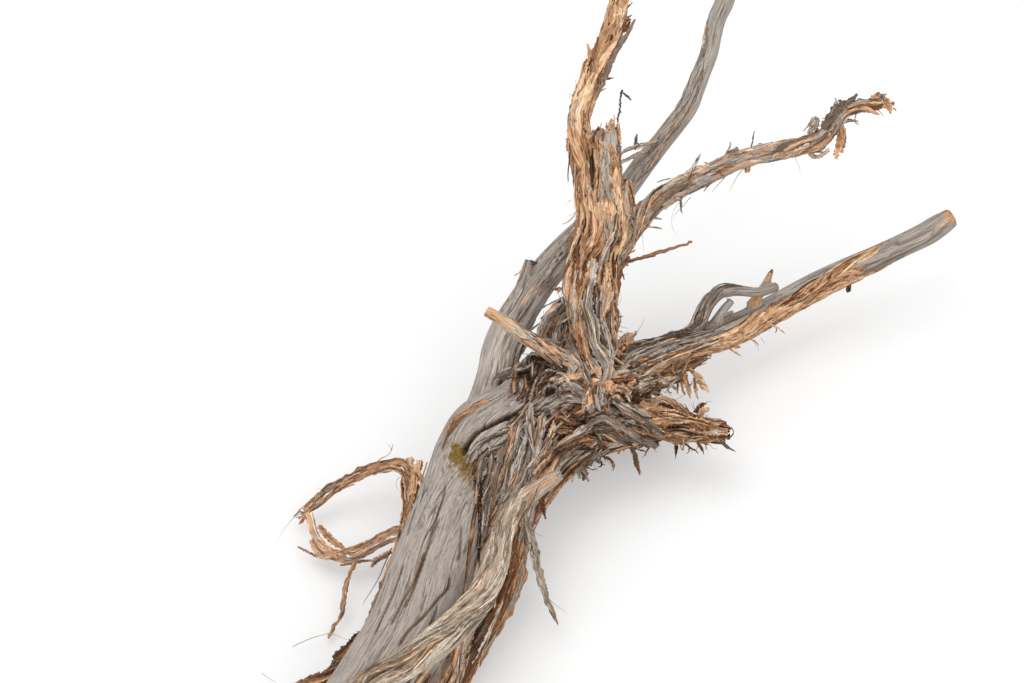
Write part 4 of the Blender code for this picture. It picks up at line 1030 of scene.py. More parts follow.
# Sizes of the relief's features across and along the grain.
LUMP_SIZE = (26, 110)
FIBRE_SIZE = (2.6, 50)
COARSE_SIZE = (11, 160)
FINE_SIZE = (4.6, 90)

SWIRL_SIZE = 24  # size of the swirls that bend the grain
SWIRL_REACH = 18  # how far a full swirl bends it
GROOVE_WIDTH = 0.11  # half width of a groove, as a share of the noise that it follows
THIN, THICK = 2 * MM, 16 * MM  # radii between which the relief grows to its full height
THIN_RELIEF = 0.25  # share of that height on the thinnest limbs
# Painted shade in the wood's grooves.
COARSE_SHADE, FINE_SHADE = 0.16, 0.12  # how dark full grooves are


def groove(grain, across, along, seed):
    """1 in the middle of long narrow grooves that run with the grain, 0 between them."""
    return ramp(np.abs(grain_noise(grain, across, along, seed) - 0.5), GROOVE_WIDTH, 0.0)


def relief(limb, grain):
    """Height of the wood above its smooth round form, and the painted shade in its grooves."""
    coarse, fine, lumps, swirl = LOOKS[limb.name][0]
    seed = limb.number * 10
    radius = limb.read(limb.radius, np.clip(grain[:, 2], 0, limb.length))
    full = THIN_RELIEF + (1 - THIN_RELIEF) * ramp(radius, THIN, THICK)
    waves = [noise(grain / (SWIRL_SIZE * MM), seed + k) - 0.5 for k in (5, 6)]
    bent = grain + np.column_stack([*waves, 0 * waves[0]]) * swirl * SWIRL_REACH * MM
    fibres = 0.35 + 0.3 * coarse
    height = lumps * (grain_noise(bent, *LUMP_SIZE, seed) - 0.5)
    height = height + fibres * (grain_noise(bent, *FIBRE_SIZE, seed + 1) - 0.5)
    wide = groove(bent, *COARSE_SIZE, seed + 2)
    narrow = groove(bent, *FINE_SIZE, seed + 3)
    height = height - coarse * wide - fine * narrow
    dark = COARSE_SHADE * coarse * wide + FINE_SHADE * fine * narrow
    return np.column_stack([height * MM * full - carved(limb, grain), dark])


LINE_STEP = 1 * MM  # spacing of the samples on a drawn line
LINE_ENDS = 8  # samples over which it fades at each end
LINE_HEIGHT = 8 * MM  # how far above or below itself it still marks the wood


def line_depth(points, out, rows, wide):
    """1 on a drawn line, fading to 0 sideways over its width. Small heights over it make no difference."""
    line = smooth_line(np.array(rows) * MM, LINE_STEP)
    share = np.zeros(len(points))
    room = 4 * wide
    near = np.flatnonzero(((points > line.min(0) - room) & (points < line.max(0) + room)).all(1))
    if len(near):
        own = points[near]
        squares = (own**2).sum(1)[:, None] - 2 * own @ line.T + (line**2).sum(1)
        number = np.arange(len(line))
        ends = np.minimum(1, np.minimum(number, number[::-1]) / LINE_ENDS)
        best = squares.argmin(1)
        away = own - line[best]
        high = (away * out[near]).sum(1)
        flat = (away**2).sum(1) - high**2
        share[near] = np.exp(-flat / wide**2) * ends[best] * (np.abs(high) < LINE_HEIGHT)
    return share


# Painted shade at the bottom of each hollow.
HOLLOW_SHADE = 0.9  # how dark the bottom of a hollow is


def surface(body, points):
    """Height of the real wood over the smooth body at points on it, and its painted shade there, from
    grooves and hollows.
    """
    height, dark = body.gather(relief, 2).T
    for x, y, z, size, deep in HOLLOWS:
        share = np.exp(-((points - np.array([x, y, z]) * MM) ** 2).sum(1) / (size * MM) ** 2)
        height = height - deep * MM * share
        dark = dark + HOLLOW_SHADE * share
    return height, dark


SMALL_PATCH = (9, 80)  # sizes across and along the grain of the patches of bark, cream and dark
LARGE_PATCH = (20, 130)
PATCH_CONTRAST = 3.2


def cover(limb, grain):
    """How much bark, cream and dark the wood shows, from 0 to 1 each."""
    seed = 500 + limb.number * 10
    means, spread = LOOKS[limb.name][1:]
    shown = []
    for k, mean in enumerate(means):
        patch = grain_noise(grain, *SMALL_PATCH, seed + k) * 0.6
        patch = patch + grain_noise(grain, *LARGE_PATCH, seed + k + 5) * 0.4
        shown.append(mean + spread * PATCH_CONTRAST * (patch - 0.5))
    return np.stack(shown, axis=1)


def patched(points):
    """What the patches of another look add to the cover."""
    added = np.zeros((len(points), 3))
    wave = 0.6 + 0.8 * noise(points / (5 * MM), 91)
    for x, y, z, size, more in PATCHES:
        away = ((points - np.array([x, y, z]) * MM) ** 2).sum(1) / (size * MM) ** 2
        added += np.exp(-away * wave)[:, None] * np.array(more)
    return np.clip(added, -1, 1)


def new_mesh(name, points, faces):
    """A mesh from an array of points and an array of faces that all have as many corners."""
    mesh = bpy.data.meshes.new(name)
    mesh.vertices.add(len(points))
    mesh.vertices.foreach_set("co", points.astype(np.float32).ravel())
    corners = faces.shape[1]
    mesh.loops.add(faces.size)
    mesh.loops.foreach_set("vertex_index", faces.astype(np.int32).ravel())
    mesh.polygons.add(len(faces))
    mesh.polygons.foreach_set("loop_start", np.arange(0, faces.size, corners, dtype=np.int32))
    mesh.update(calc_edges=True)
    mesh.validate()
    return mesh


def paint(mesh, name, kind, domain, values):
    """Stores values on the mesh under a name that the materials read."""
    field = {"FLOAT": "value", "FLOAT_VECTOR": "vector", "FLOAT_COLOR": "color"}[kind]
    attribute = mesh.attributes.new(name, kind, domain)
    attribute.data.foreach_set(field, values.astype(np.float32).ravel())


def add_piece(name, mesh, material, *replaced):
    """A visual piece that rides on the wood, and the CAD nodes that it stands for."""
    mesh.materials.append(material)
    piece = bpy.data.objects.new(name, mesh)
    bpy.context.collection.objects.link(piece)
    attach(piece, BODY)
    if replaced:
        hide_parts(*replaced)
    return piece


def grid_faces(rows, columns, loop):
    """Faces between rows of points; with loop, each row closes on itself."""
    r = np.arange(rows - 1)[:, None]
    c = np.arange(columns if loop else columns - 1)[None, :]
    n = (c + 1) % columns
    quads = [r * columns + c, r * columns + n, (r + 1) * columns + n, (r + 1) * columns + c]
    return np.stack([np.broadcast_to(q, (rows - 1, c.size)) for q in quads], axis=-1).reshape(-1, 4)


def round_tube(limb, sides=20):
    """A plain closed tube along a limb, for the fused skin to start from."""
    angle = np.linspace(0, 2 * math.pi, sides, endpoint=False)
    run, turn = np.meshgrid(limb.run, angle, indexing="ij")
    ring = limb.place(run, turn).reshape(-1, 3)
    points = np.vstack([ring, limb.at[0], limb.at[-1]])
    faces = grid_faces(len(limb.run), sides, loop=True)
    last = len(ring) - sides
    caps = []
    for k in range(sides):
        n = (k + 1) % sides
        caps.append((len(ring), n, k))
        caps.append((len(ring) + 1, last + k, last + n))
    return points, faces, np.array(caps)


def fused_skin():
    """Points and four-cornered faces of one skin round every limb, still plain and lumpy."""
    points, faces = [], []
    start = 0
    for limb in LIMB.values():
        own, quads, caps = round_tube(limb)
        points.append(own)
        faces += (quads + start).tolist() + (caps + start).tolist()
        start += len(own)
    mesh = bpy.data.meshes.new("limbs")
    mesh.from_pydata(np.vstack(points).tolist(), [], faces)
    rough = bpy.data.objects.new("limbs", mesh)
    bpy.context.collection.objects.link(rough)
    remesh = rough.modifiers.new("fuse", "REMESH")
    remesh.mode = "VOXEL"
    remesh.voxel_size = SKIN_VOXEL
    graph = bpy.context.evaluated_depsgraph_get()
    fused = bpy.data.meshes.new_from_object(rough.evaluated_get(graph))
    at = np.empty(len(fused.vertices) * 3)
    fused.vertices.foreach_get("co", at)
    corners = np.empty(len(fused.loops), int)
    fused.loops.foreach_get("vertex_index", corners)
    bpy.data.objects.remove(rough)
    bpy.data.meshes.remove(mesh)
    bpy.data.meshes.remove(fused)
    return at.reshape(-1, 3), corners.reshape(-1, 4)


def moss_on(points):
    """How much moss grows at the points: a small yellow-green patch in the hollow under the ridge."""
    amount = np.zeros(len(points))
    for x, y, z, size in MOSS:
        away = np.linalg.norm(points - np.array([x, y, z]) * MM, axis=1) / (size * MM)
        ragged = noise(points / (2.5 * MM), 77) * 0.9 + noise(points / (7 * MM), 78) * 0.5
        amount = np.maximum(amount, ramp(away + ragged, 1.9, 0.6))
    return amount


GRAIN_SHIFT = 0.37  # moves each limb to another stretch of the materials' noise


def corner_grain(points, faces, owner):
    """Grain coordinates for each face corner, all corners of a face in the frame of one limb."""
    grain = np.zeros((*faces.shape, 3))
    face_owner = owner[faces[:, 0]]
    for limb in LIMB.values():
        own = np.flatnonzero(face_owner == limb.number)
        if len(own):
            used, back = np.unique(faces[own], return_inverse=True)
            _, _, found = limb.measure(points[used])
            grain[own] = found[back.reshape(len(own), -1)] + limb.number * GRAIN_SHIFT
    return grain


SPLIT_POINTS = 7
SPLIT_WAVE = 14 * MM  # a split swings to and fro over about six times this length
SPLIT_SWING = 0.1  # and by this angle round the trunk


def crack_lines():
    """Width, depth and points of every drawn line, then of every split round the trunk's near end."""
    lines = list(CRACKS)
    for turn, length, wide, deep in END_SPLITS:
        run = np.linspace(0, length * MM, SPLIT_POINTS)
        angle = math.radians(turn) + SPLIT_SWING * np.sin(run / SPLIT_WAVE + turn)
        lines.append((wide, deep, LIMB["trunk"].place(run, angle) / MM))
    return lines


DEEPEST_SHADE = 5  # depth in millimetres past which a crack gets no darker
# Painted shade and light: the skin is painted paler where it stands out and darker where it sinks.
SKIN_SHADE = 0.07  # how much paler the skin is for each millimetre that it stands out
# Painted light: where a patch takes dark away, the skin is painted paler to lift places kept in shade.
PAINTED_LIGHT_GAIN = 0.6  # how much paler it is where a patch takes dark away
SHADE_RANGE = (-0.5, 0.45)


def build_skin(material):
    """The weathered wood itself: one skin round every limb, with its relief, cracks, hollows and moss."""
    points, faces = fused_skin()
    points, body = settle(points, 3)
    height, dark = surface(body, points)
    # Cracks and splits are carved in and painted darker the deeper they go: painted shade.
    for wide, deep, rows in crack_lines():
        share = ramp(line_depth(points, body.out, rows, wide * MM), 0.25, 0.8)
        height = height - deep * MM * share
        dark = dark + (0.28 + 0.16 * min(deep, DEEPEST_SHADE)) * share
    more = patched(points)
    shown = body.gather(cover, 3) + more
    shown[:, 2] += dark
    shown = np.clip(np.column_stack([shown, moss_on(points)]), 0, 1)
    grain = corner_grain(points, faces, body.owners())
    points = points + height[:, None] * body.out
    points[:, 2] = np.maximum(points[:, 2], GROUND)
    mesh = new_mesh("driftwood_skin", points, faces)
    paint(mesh, "grain", "FLOAT_VECTOR", "CORNER", grain)
    paint(mesh, "cover", "FLOAT_COLOR", "POINT", shown)
    painted_light = PAINTED_LIGHT_GAIN * np.maximum(-more[:, 2], 0)
    paint(mesh, "shade", "FLOAT", "POINT", np.clip(SKIN_SHADE * height / MM + painted_light, *SHADE_RANGE))
    mesh.shade_smooth()
    return add_piece("driftwood_skin", mesh, material, "driftwood")


def slabs(top, out, thick):
    """Thin closed pieces, all on one grid.

    The top is pieces x rows x columns x 3, and thick is how deep each of its points goes.
    """
    count, rows, columns, _ = top.shape
    under = top - out * thick[..., None]
    points = np.concatenate([top, under[:, :, ::-1]], axis=2).reshape(count, -1, 3)
    around = 2 * columns
    faces = grid_faces(rows, around, loop=True)
    ends = []
    for c in range(columns - 1):
        ring = [c, around - 1 - c, around - 2 - c, c + 1]
        last = (rows - 1) * around
        ends += [ring, [last + k for k in reversed(ring)]]
    faces = np.vstack([faces, ends])[:, ::-1]
    faces = (faces[None] + (np.arange(count) * rows * around)[:, None, None]).reshape(-1, 4)
    return points.reshape(-1, 3), faces


def on_slabs(values):
    """Spreads values given on the top grid to the slab's points, top and underside."""
    return np.concatenate([values, values[:, :, ::-1]], axis=2).reshape(-1, values.shape[-1])


def loose_grain(random, across, run):
    """Grain coordinates of strips from the places across and along them, each strip with its own start."""
    grain = np.stack(np.broadcast_arrays(across, 0 * across, run), axis=-1)
    return grain + random.uniform(0, 3, (len(grain), 1, 1, 3))


def one_tone(tone, top):
    """Cover of strips that show one (bark, cream, dark) each, and no moss."""
    shown = np.clip(np.column_stack([tone, np.zeros(len(tone))]), 0, 1)
    return np.broadcast_to(shown[:, None, None], (*top.shape[:3], 4))


SHARP_EDGE = math.radians(50)


def build_slabs(name, material, top, out, thick, grain, shown, shade):
    """One visual piece from many strips: their tops, the way out, thickness, grain, cover and shade."""
    points, faces = slabs(top, out, thick)
    points[:, 2] = np.maximum(points[:, 2], GROUND)
    mesh = new_mesh(name, points, faces)
    paint(mesh, "grain", "FLOAT_VECTOR", "POINT", on_slabs(grain))
    paint(mesh, "cover", "FLOAT_COLOR", "POINT", on_slabs(shown))
    shade = np.broadcast_to(shade, top.shape[:3])[..., None]
    paint(mesh, "shade", "FLOAT", "POINT", on_slabs(shade))
    mesh.shade_smooth()
    mesh.set_sharp_from_angle(angle=SHARP_EDGE)
    return add_piece(name, mesh, material)


def turned(vectors, axis, angle):
    """Vectors turned about unit axes, by angle."""
    cos, sin = np.cos(angle), np.sin(angle)
    lasting = axis * (axis * vectors).sum(-1, keepdims=True)
    return vectors * cos + np.cross(axis, vectors) * sin + lasting * (1 - cos)


def flow(limb, grain):
    """The way the fibres run along a limb, and how much they swirl there."""
    along = limb.read(limb.along, np.clip(grain[:, 2], 0, limb.length))
    return np.column_stack([along, np.full(len(grain), LOOKS[limb.name][0][3])])


SWIRL_PATCH = 26  # size in millimetres of the places where the fibres turn the same way


def trace(points, long, bias, rows):
    """Lines over the wood that follow the fibres, each turned a little by its bias.

    Gives their points, the way out and the way on at each point, and how far each line strays.
    """
    points, _ = settle(points, 2)
    line, outs, ways = [], [], []
    astray = np.zeros(len(points))
    for _ in range(rows):
        body = Body(points)
        astray = np.maximum(astray, body.gap)
        points = body.draw_in(points, *CLING)
        fibres = body.gather(flow, 4)
        way = fibres[:, :3] - (fibres[:, :3] * body.out).sum(1, keepdims=True) * body.out
        swirl = (noise(points / (SWIRL_PATCH * MM), 5) - 0.5) * 4 * fibres[:, 3] + bias
        way = turned(unit(way), body.out, swirl[:, None])
        line.append(points)
        outs.append(body.out)
        ways.append(way)
        points = points + way * long[:, None] / rows
    return np.stack(line, axis=1), np.stack(outs, axis=1), np.stack(ways, axis=1), astray


CROWD_CELL = 4 * MM


def crowd(points, heights):
    """The average height, round each of these points, of everything laid on the wood."""
    cell = np.floor(points / CROWD_CELL).astype(int)
    cell = cell - cell.min(0) + 1
    room = cell.max(0) + 2
    total, number = np.zeros(room), np.zeros(room)
    place = tuple(cell.T)
    np.add.at(total, place, heights)
    np.add.at(number, place, 1)
    for axis in range(3):
        total = total + np.roll(total, 1, axis) + np.roll(total, -1, axis)
        number = number + np.roll(number, 1, axis) + np.roll(number, -1, axis)
    return total[place] / number[place]


def run_along(line):
    """How far along its own line each point is."""
    return np.linalg.norm(np.diff(line, axis=1, prepend=line[:, :1]), axis=2).cumsum(1)


# A coat of strips, ready for its mesh. Stand is its height over the wood and half is half its width.
Coat = namedtuple("Coat", "name top out thick grain shown shade stand tone half")

SHRED_ROWS = 16
SHRED_COLUMNS = 5
SHRED_THICK = 2.2  # in millimetres
PEEL_THICK = 0.8  # the same at the tip of a peeling end
PEEL_HEIGHT = 9  # how high it lifts, in millimetres
STRAYED = 4 * MM  # a shred that leaves the wood by more than this is dropped


def grow_shreds(seed):
    """Coats of bark and fibre, each shred rounded and clinging, a few peeling away at one end."""
    random = np.random.default_rng(seed)
    starts, longs, wides, rises, peels, tones = [], [], [], [], [], []
    for name, count, runs, angles, lengths, widths, rise, peel, tone, spread in SHREDS:
        limb = LIMB[name]
        long = random.uniform(*lengths, count) * MM
        run = np.clip(random.uniform(*runs, count) * limb.length - long / 2, 0, limb.length)
        starts.append(limb.place(run, np.radians(random.uniform(*angles, count))))
        longs.append(long)
        wides.append(random.uniform(*widths, count) * MM)
        rises.append(rise * random.uniform(0.5, 1.3, count) * MM)
        peels.append(random.random(count) < peel)
        tones.append(np.array(tone) + spread * random.normal(0, 0.5, (count, 3)) * (1, 0.6, 0.5))
    start, long, wide, rise, peel, tone = map(np.concatenate, (starts, longs, wides, rises, peels, tones))
    count = len(start)
    line, out, way, astray = trace(start, long, random.normal(0, 0.08, count), SHRED_ROWS)
    kept = astray < STRAYED
    line, out, way = line[kept], out[kept], way[kept]
    long, wide, rise, peel, tone = (part[kept] for part in (long, wide, rise, peel, tone))
    count = len(line)
    share = np.linspace(0, 1, SHRED_ROWS)[None, :, None]
    column = np.linspace(-1, 1, SHRED_COLUMNS)[None, None, :]
    ends = random.uniform(0.08, 0.35, (2, count, 1, 1))
    taper = np.clip(np.minimum(share / ends[0], (1 - share) / ends[1]), 0.04, 1) ** 0.8
    ragged = np.clip(1 + 0.16 * random.standard_normal((count, SHRED_ROWS, 1)), 0.6, 1.4)
    half = wide[:, None, None] * taper * ragged / 2
    side = unit(np.cross(out, way))
    top = line[:, :, None] + side[:, :, None] * (half * column)[..., None]
    flat = top.reshape(-1, 3)
    body = Body(flat)
    flat = body.draw_in(flat, *CLING)
    height, dark = surface(body, flat)
    out = body.out.reshape(top.shape)
    lifted = np.where(peel, np.minimum(random.exponential(1.0, count), 1.6), 0)[:, None, None]
    lifted = lifted * np.clip((share - random.uniform(0.45, 0.8, (count, 1, 1))) / 0.5, 0, 1) ** 1.6
    crown = rise[:, None, None] * taper * (1 - 1.3 * column**2) - 0.3 * MM * (taper < 0.3)
    sag = 0.6 * height.reshape(top.shape[:3])
    stand = crown + sag + PEEL_HEIGHT * MM * lifted + 0.3 * MM * random.standard_normal(top.shape[:3])
    top = flat.reshape(top.shape) + out * stand[..., None]
    thick = np.clip(SHRED_THICK - 4 * lifted, PEEL_THICK, SHRED_THICK) * MM + 0 * column
    grain = loose_grain(random, half * column, share * long[:, None, None])
    shown = np.broadcast_to(tone[:, None, None], top.shape) + 0.5 * patched(flat).reshape(top.shape)
    # Painted shade along the edges of shreds that lie flat, and over the grooves and hollows beneath them.
    edges = 0.45 * column**4 * (lifted < 0.05) + 0.35 * dark.reshape(top.shape[:3])
    shown = np.concatenate([shown[..., :2], shown[..., 2:] + edges[..., None], 0 * shown[..., :1]], axis=-1)
    shade = random.normal(0, 0.2, (count, 1, 1))
    return Coat("bark_shreds", top, out, thick, grain, shown, shade, stand, tone, half + 0 * column)


ROPE_ROWS = 64
ROPE_COLUMNS = 15
ROPE_THICK = 2.5 * MM


def grow_ropes(seed):
    """Thick twisted strands of wood grown over the knot and down beside the trunk."""
    random = np.random.default_rng(seed)
    table = np.stack([evenly(rows, ROPE_ROWS) for tone, rows in ROPES])
    line, wide = table[..., :3], table[..., 3]
    count = len(line)
    out = Body(line.reshape(-1, 3)).out.reshape(line.shape)
    out = unit(out + CREST)
    way = unit(np.gradient(line, axis=1))
    side = unit(np.cross(out, way))
    out = np.cross(way, side)
    run = run_along(line)
    column = np.linspace(-1, 1, ROPE_COLUMNS)[None, None, :]
    half = wide[..., None] / 2
    grain = loose_grain(random, half * column, run[..., None])
    flat = grain.reshape(-1, 3)
    shape = grain.shape[:3]
    wander = (grain_noise(flat, 40, 16, 3) - 0.5).reshape(shape)[..., :1] * 3 * MM
    swell = 1 + 0.7 * (grain_noise(flat, 40, 11, 6) - 0.5).reshape(shape)[..., :1]
    folds = groove(flat, 4.5, 45, 1).reshape(shape)
    fibres = (grain_noise(flat, 2.0, 26, 2) - 0.5).reshape(shape)
    crumbs = (grain_noise(flat, 2.2, 6, 7) - 0.5).reshape(shape)
    ragged = 0.8 * MM * random.standard_normal((count, ROPE_ROWS, 1)) * column
    half = half * swell
    rise = half * (0.62 * np.sqrt(1.02 - column**2) - 0.2) + (2.2 * fibres + 1.6 * crumbs - 2.2 * folds) * MM
    top = line[:, :, None] + side[:, :, None] * (half * column + wander + ragged)[..., None]
    top = top + out[:, :, None] * rise[..., None]
    tones = np.array([tone for tone, rows in ROPES])
    shown = np.broadcast_to(tones[:, None, None], top.shape)
    shown = shown + (0.7 * (noise(flat / (7 * MM), 4) - 0.5)).reshape(shape)[..., None] * (1, 0.6, 0)
    # Painted shade along each rope's edges and in its folds.
    dark = shown[..., 2:] + (0.4 * column**4 + 0.3 * folds)[..., None]
    shown = np.concatenate([shown[..., :2], dark, 0 * dark], axis=-1)
    thick = np.full(shape, ROPE_THICK)
    out = np.broadcast_to(out[:, :, None], top.shape)
    stand = Body(top.reshape(-1, 3)).gap.reshape(shape)
    shade = random.normal(0, 0.15, (count, 1, 1))
    return Coat("grown_ropes", top, out, thick, grain, shown, shade, stand, tones, half + 0 * column)


# Painted shade where a place sits lower than everything laid round it.
SINK = 0.37  # how much darker a place gets for each millimetre that its neighbours stand higher
SINK_SHADE = 0.06  # and how much less bright
SINK_RANGE = (-2, 4)  # millimetres that count


def build_coats(material, coats):
    """Meshes of the laid coats, with painted shade where neighbours stand higher. Gives what fibres need of
    them.
    """
    sizes = [coat.stand.size for coat in coats]
    points = np.vstack([coat.top.reshape(-1, 3) for coat in coats])
    heights = np.concatenate([coat.stand.ravel() for coat in coats])
    sunk = (crowd(points, heights) - heights) / MM
    grids = []
    for coat, low in zip(coats, np.split(sunk, np.cumsum(sizes)[:-1])):
        low = np.clip(low.reshape(coat.stand.shape), *SINK_RANGE)
        shown = np.clip(coat.shown + low[..., None] * (0, 0, SINK, 0), 0, 1)
        shade = coat.shade - SINK_SHADE * low
        build_slabs(coat.name, material, coat.top, coat.out, coat.thick, coat.grain, shown, shade)
        grids.append((coat.top, coat.out, coat.tone, coat.half, low))
    return grids


FIBRE_ROWS = 9
FIBRE_THICK = 0.8 * MM
FIBRES_ON = (2400, 1500)  # how many on the shreds and on the ropes


def build_fibres(material, grids, seed):
    """Thin splinters and fibres that split off along the shreds and ropes they lie on."""
    random = np.random.default_rng(seed)
    lines, outs, tones, lows = [], [], [], []
    share = np.linspace(0, 1, FIBRE_ROWS)
    for number, (top, out, tone, half, low) in zip(FIBRES_ON, grids):
        pieces, rows, columns, _ = top.shape
        weight = half.mean((1, 2)) * np.linalg.norm(top[:, -1, 0] - top[:, 0, 0], axis=1)
        piece = random.choice(pieces, number, p=weight / weight.sum())[:, None]
        first = random.uniform(0, 0.7, (number, 1))
        row = (first + random.uniform(0.2, 0.6, (number, 1)) * share) * (rows - 1)
        column = random.uniform(0.1, 0.9, (number, 1)) + random.normal(0, 0.12, (number, 1)) * share
        column = column * (columns - 1)
        row, column = np.clip(row, 0, rows - 1.001), np.clip(column, 0, columns - 1.001)
        r, c = row.astype(int), column.astype(int)
        u, v = (row - r)[..., None], (column - c)[..., None]
        for field, store in ((top, lines), (out, outs), (low[..., None], lows)):
            near = field[piece, r, c] * (1 - v) + field[piece, r, c + 1] * v
            far = field[piece, r + 1, c] * (1 - v) + field[piece, r + 1, c + 1] * v
            store.append(near * (1 - u) + far * u)
        tones.append(tone[piece[:, 0]])
    line, out, tone, low = map(np.concatenate, (lines, outs, tones, lows))
    number = len(line)
    out = unit(out)
    bow = random.uniform(-0.2, 0.7, (number, 1)) * np.sin(share * math.pi)
    split = np.where(random.random((number, 1)) < 0.2, random.exponential(2.0, (number, 1)), 0) * share**2
    split = np.where(random.random((number, 1)) < 0.5, split, split[:, ::-1])
    line = line + out * ((bow + split) * MM)[..., None]
    side = unit(np.cross(out, np.gradient(line, axis=1)))
    half = random.uniform(0.35, 1.0, (number, 1)) * np.clip(np.minimum(share, 1 - share) / 0.2, 0.1, 1) * MM
    column = np.linspace(-1, 1, 3)
    top = line[:, :, None] + side[:, :, None] * (half[:, :, None] * column)[..., None]
    top = top + out[:, :, None] * (half[:, :, None] * 0.7 * (1 - column**2))[..., None]
    out = np.broadcast_to(out[:, :, None], top.shape)
    run = np.linalg.norm(line - line[:, :1], axis=2)[:, :, None]
    grain = loose_grain(random, half[:, :, None] * column, run)
    tone = tone + random.normal(0, 1, (number, 3)) * (0.3, 0.3, 0.22)
    # Painted shade on fibres that lie lower than their neighbours.
    tone[:, 2] += 0.1 * low.mean((1, 2))
    thick = np.full(top.shape[:3], FIBRE_THICK)
    shade = random.normal(0.0, 0.35, (number, 1, 1))
    return build_slabs("split_fibres", material, top, out, thick, grain, one_tone(tone, top), shade)


CURL_ROWS = 16
CURL_COLUMNS = 3
CURL_THICK = 0.7 * MM


def build_curls(material, seed):
    """Loose shavings that curl out of the torn places."""
    random = np.random.default_rng(seed)
    starts, directions, longs, wides, bends, tones = [], [], [], [], [], []
    for name, count, runs, angles, lengths, widths, bend, tone, spread in CURLS:
        limb = LIMB[name]
        run = random.uniform(*runs, count) * limb.length
        starts.append(limb.place(run, np.radians(random.uniform(*angles, count))))
        directions.append(limb.read(limb.along, run) * random.choice([-1, 1], (count, 1)))
        longs.append(random.uniform(*lengths, (count, 1)) * MM)
        wides.append(random.uniform(*widths, (count, 1)) * MM)
        bends.append(random.normal(0, bend, (count, 1)))
        tones.append(np.array(tone) + spread * random.normal(0, 0.5, (count, 3)))
    start, body = settle(np.concatenate(starts), 2)
    along, long, wide, bend, tone = map(np.concatenate, (directions, longs, wides, bends, tones))
    count = len(start)
    out = body.out
    along = unit(along - (along * out).sum(1, keepdims=True) * out)
    along = turned(along, out, random.normal(0, 0.7, (count, 1)))
    axis = unit(np.cross(out, along) + out * random.normal(0, 0.35, (count, 1)))
    heading = unit(along + out * random.uniform(0.0, 0.7, (count, 1)))
    point = start + out * random.uniform(-1, 3, (count, 1)) * MM
    line, axes, faces_out = [], [], []
    for row in range(CURL_ROWS):
        line.append(point)
        axes.append(axis)
        faces_out.append(np.cross(heading, axis))
        step = long / CURL_ROWS
        point = point + heading * step
        rate = bend * (0.25 + 1.5 * row / CURL_ROWS) + random.normal(0, 0.12, (count, 1))
        heading = unit(turned(heading, axis, rate))
        axis = unit(turned(axis, heading, random.normal(0, 0.14, (count, 1))))
    line, axes, normal = (np.stack(part, axis=1) for part in (line, axes, faces_out))
    share = np.linspace(0, 1, CURL_ROWS)[None, :, None]
    half = wide[:, None] / 2 * np.clip(np.minimum(share / 0.1, (1 - share) / 0.35), 0.12, 1)
    half = half * np.clip(1 + 0.25 * random.standard_normal((count, CURL_ROWS, 1)), 0.5, 1.5)
    column = np.linspace(-1, 1, CURL_COLUMNS)[:, None]
    top = line[:, :, None] + axes[:, :, None] * half[..., None] * column
    top = top + normal[:, :, None] * (half[..., None] * 0.25 * column**2)
    normal = np.broadcast_to(unit(normal)[:, :, None], top.shape)
    grain = loose_grain(random, half * column[:, 0], long[:, None] * share)
    thick = np.full(top.shape[:3], CURL_THICK)
    shade = random.normal(-0.1, 0.25, (count, 1, 1))
    return build_slabs("curled_shavings", material, top, normal, thick, grain, one_tone(tone, top), shade)


RIBBON_ROWS = 26
RIBBON_COLUMNS = 5
SPLINTER_WIDTH = 1.6 * MM  # a ribbon has one splinter beside it for each of these in its width
MOST_SPLINTERS = 5


def evenly(rows, count):
    """A smooth line through the rows, read at count even steps."""
    line = smooth_line(np.array(rows, float), 1.0)
    run = np.concatenate([[0], np.cumsum(np.linalg.norm(np.diff(line[:, :3], axis=0), axis=1))])
    even = np.linspace(0, run[-1], count)
    return np.stack([np.interp(even, run, column) for column in line.T], axis=1) * MM


def strands(random, rows, tone, thick):
    """One ribbon and the thin splinters that run beside it."""
    line = evenly(rows, RIBBON_ROWS)
    yield line[:, :3], line[:, 3], tone, thick * MM
    wide = line[:, 3].max()
    share = np.linspace(0, 1, RIBBON_ROWS)
    for _ in range(int(min(MOST_SPLINTERS, wide / SPLINTER_WIDTH))):
        first, last = sorted(random.uniform(0, 1, 2))
        last = min(1.0, max(last, first + 0.35))
        part = np.linspace(first * 0.9, last, RIBBON_ROWS)
        near = np.stack([np.interp(part, share, column) for column in line.T], axis=1)
        drift = random.normal(0, 0.32, 3) * wide
        drift = drift + random.normal(0, 0.2, 3) * wide * np.linspace(-1, 1, RIBBON_ROWS)[:, None]
        shade = np.array(tone) + random.normal(0, (0.18, 0.12, 0.14))
        yield near[:, :3] + drift, near[:, 3] * random.uniform(0.14, 0.4), shade, thick * 0.5 * MM


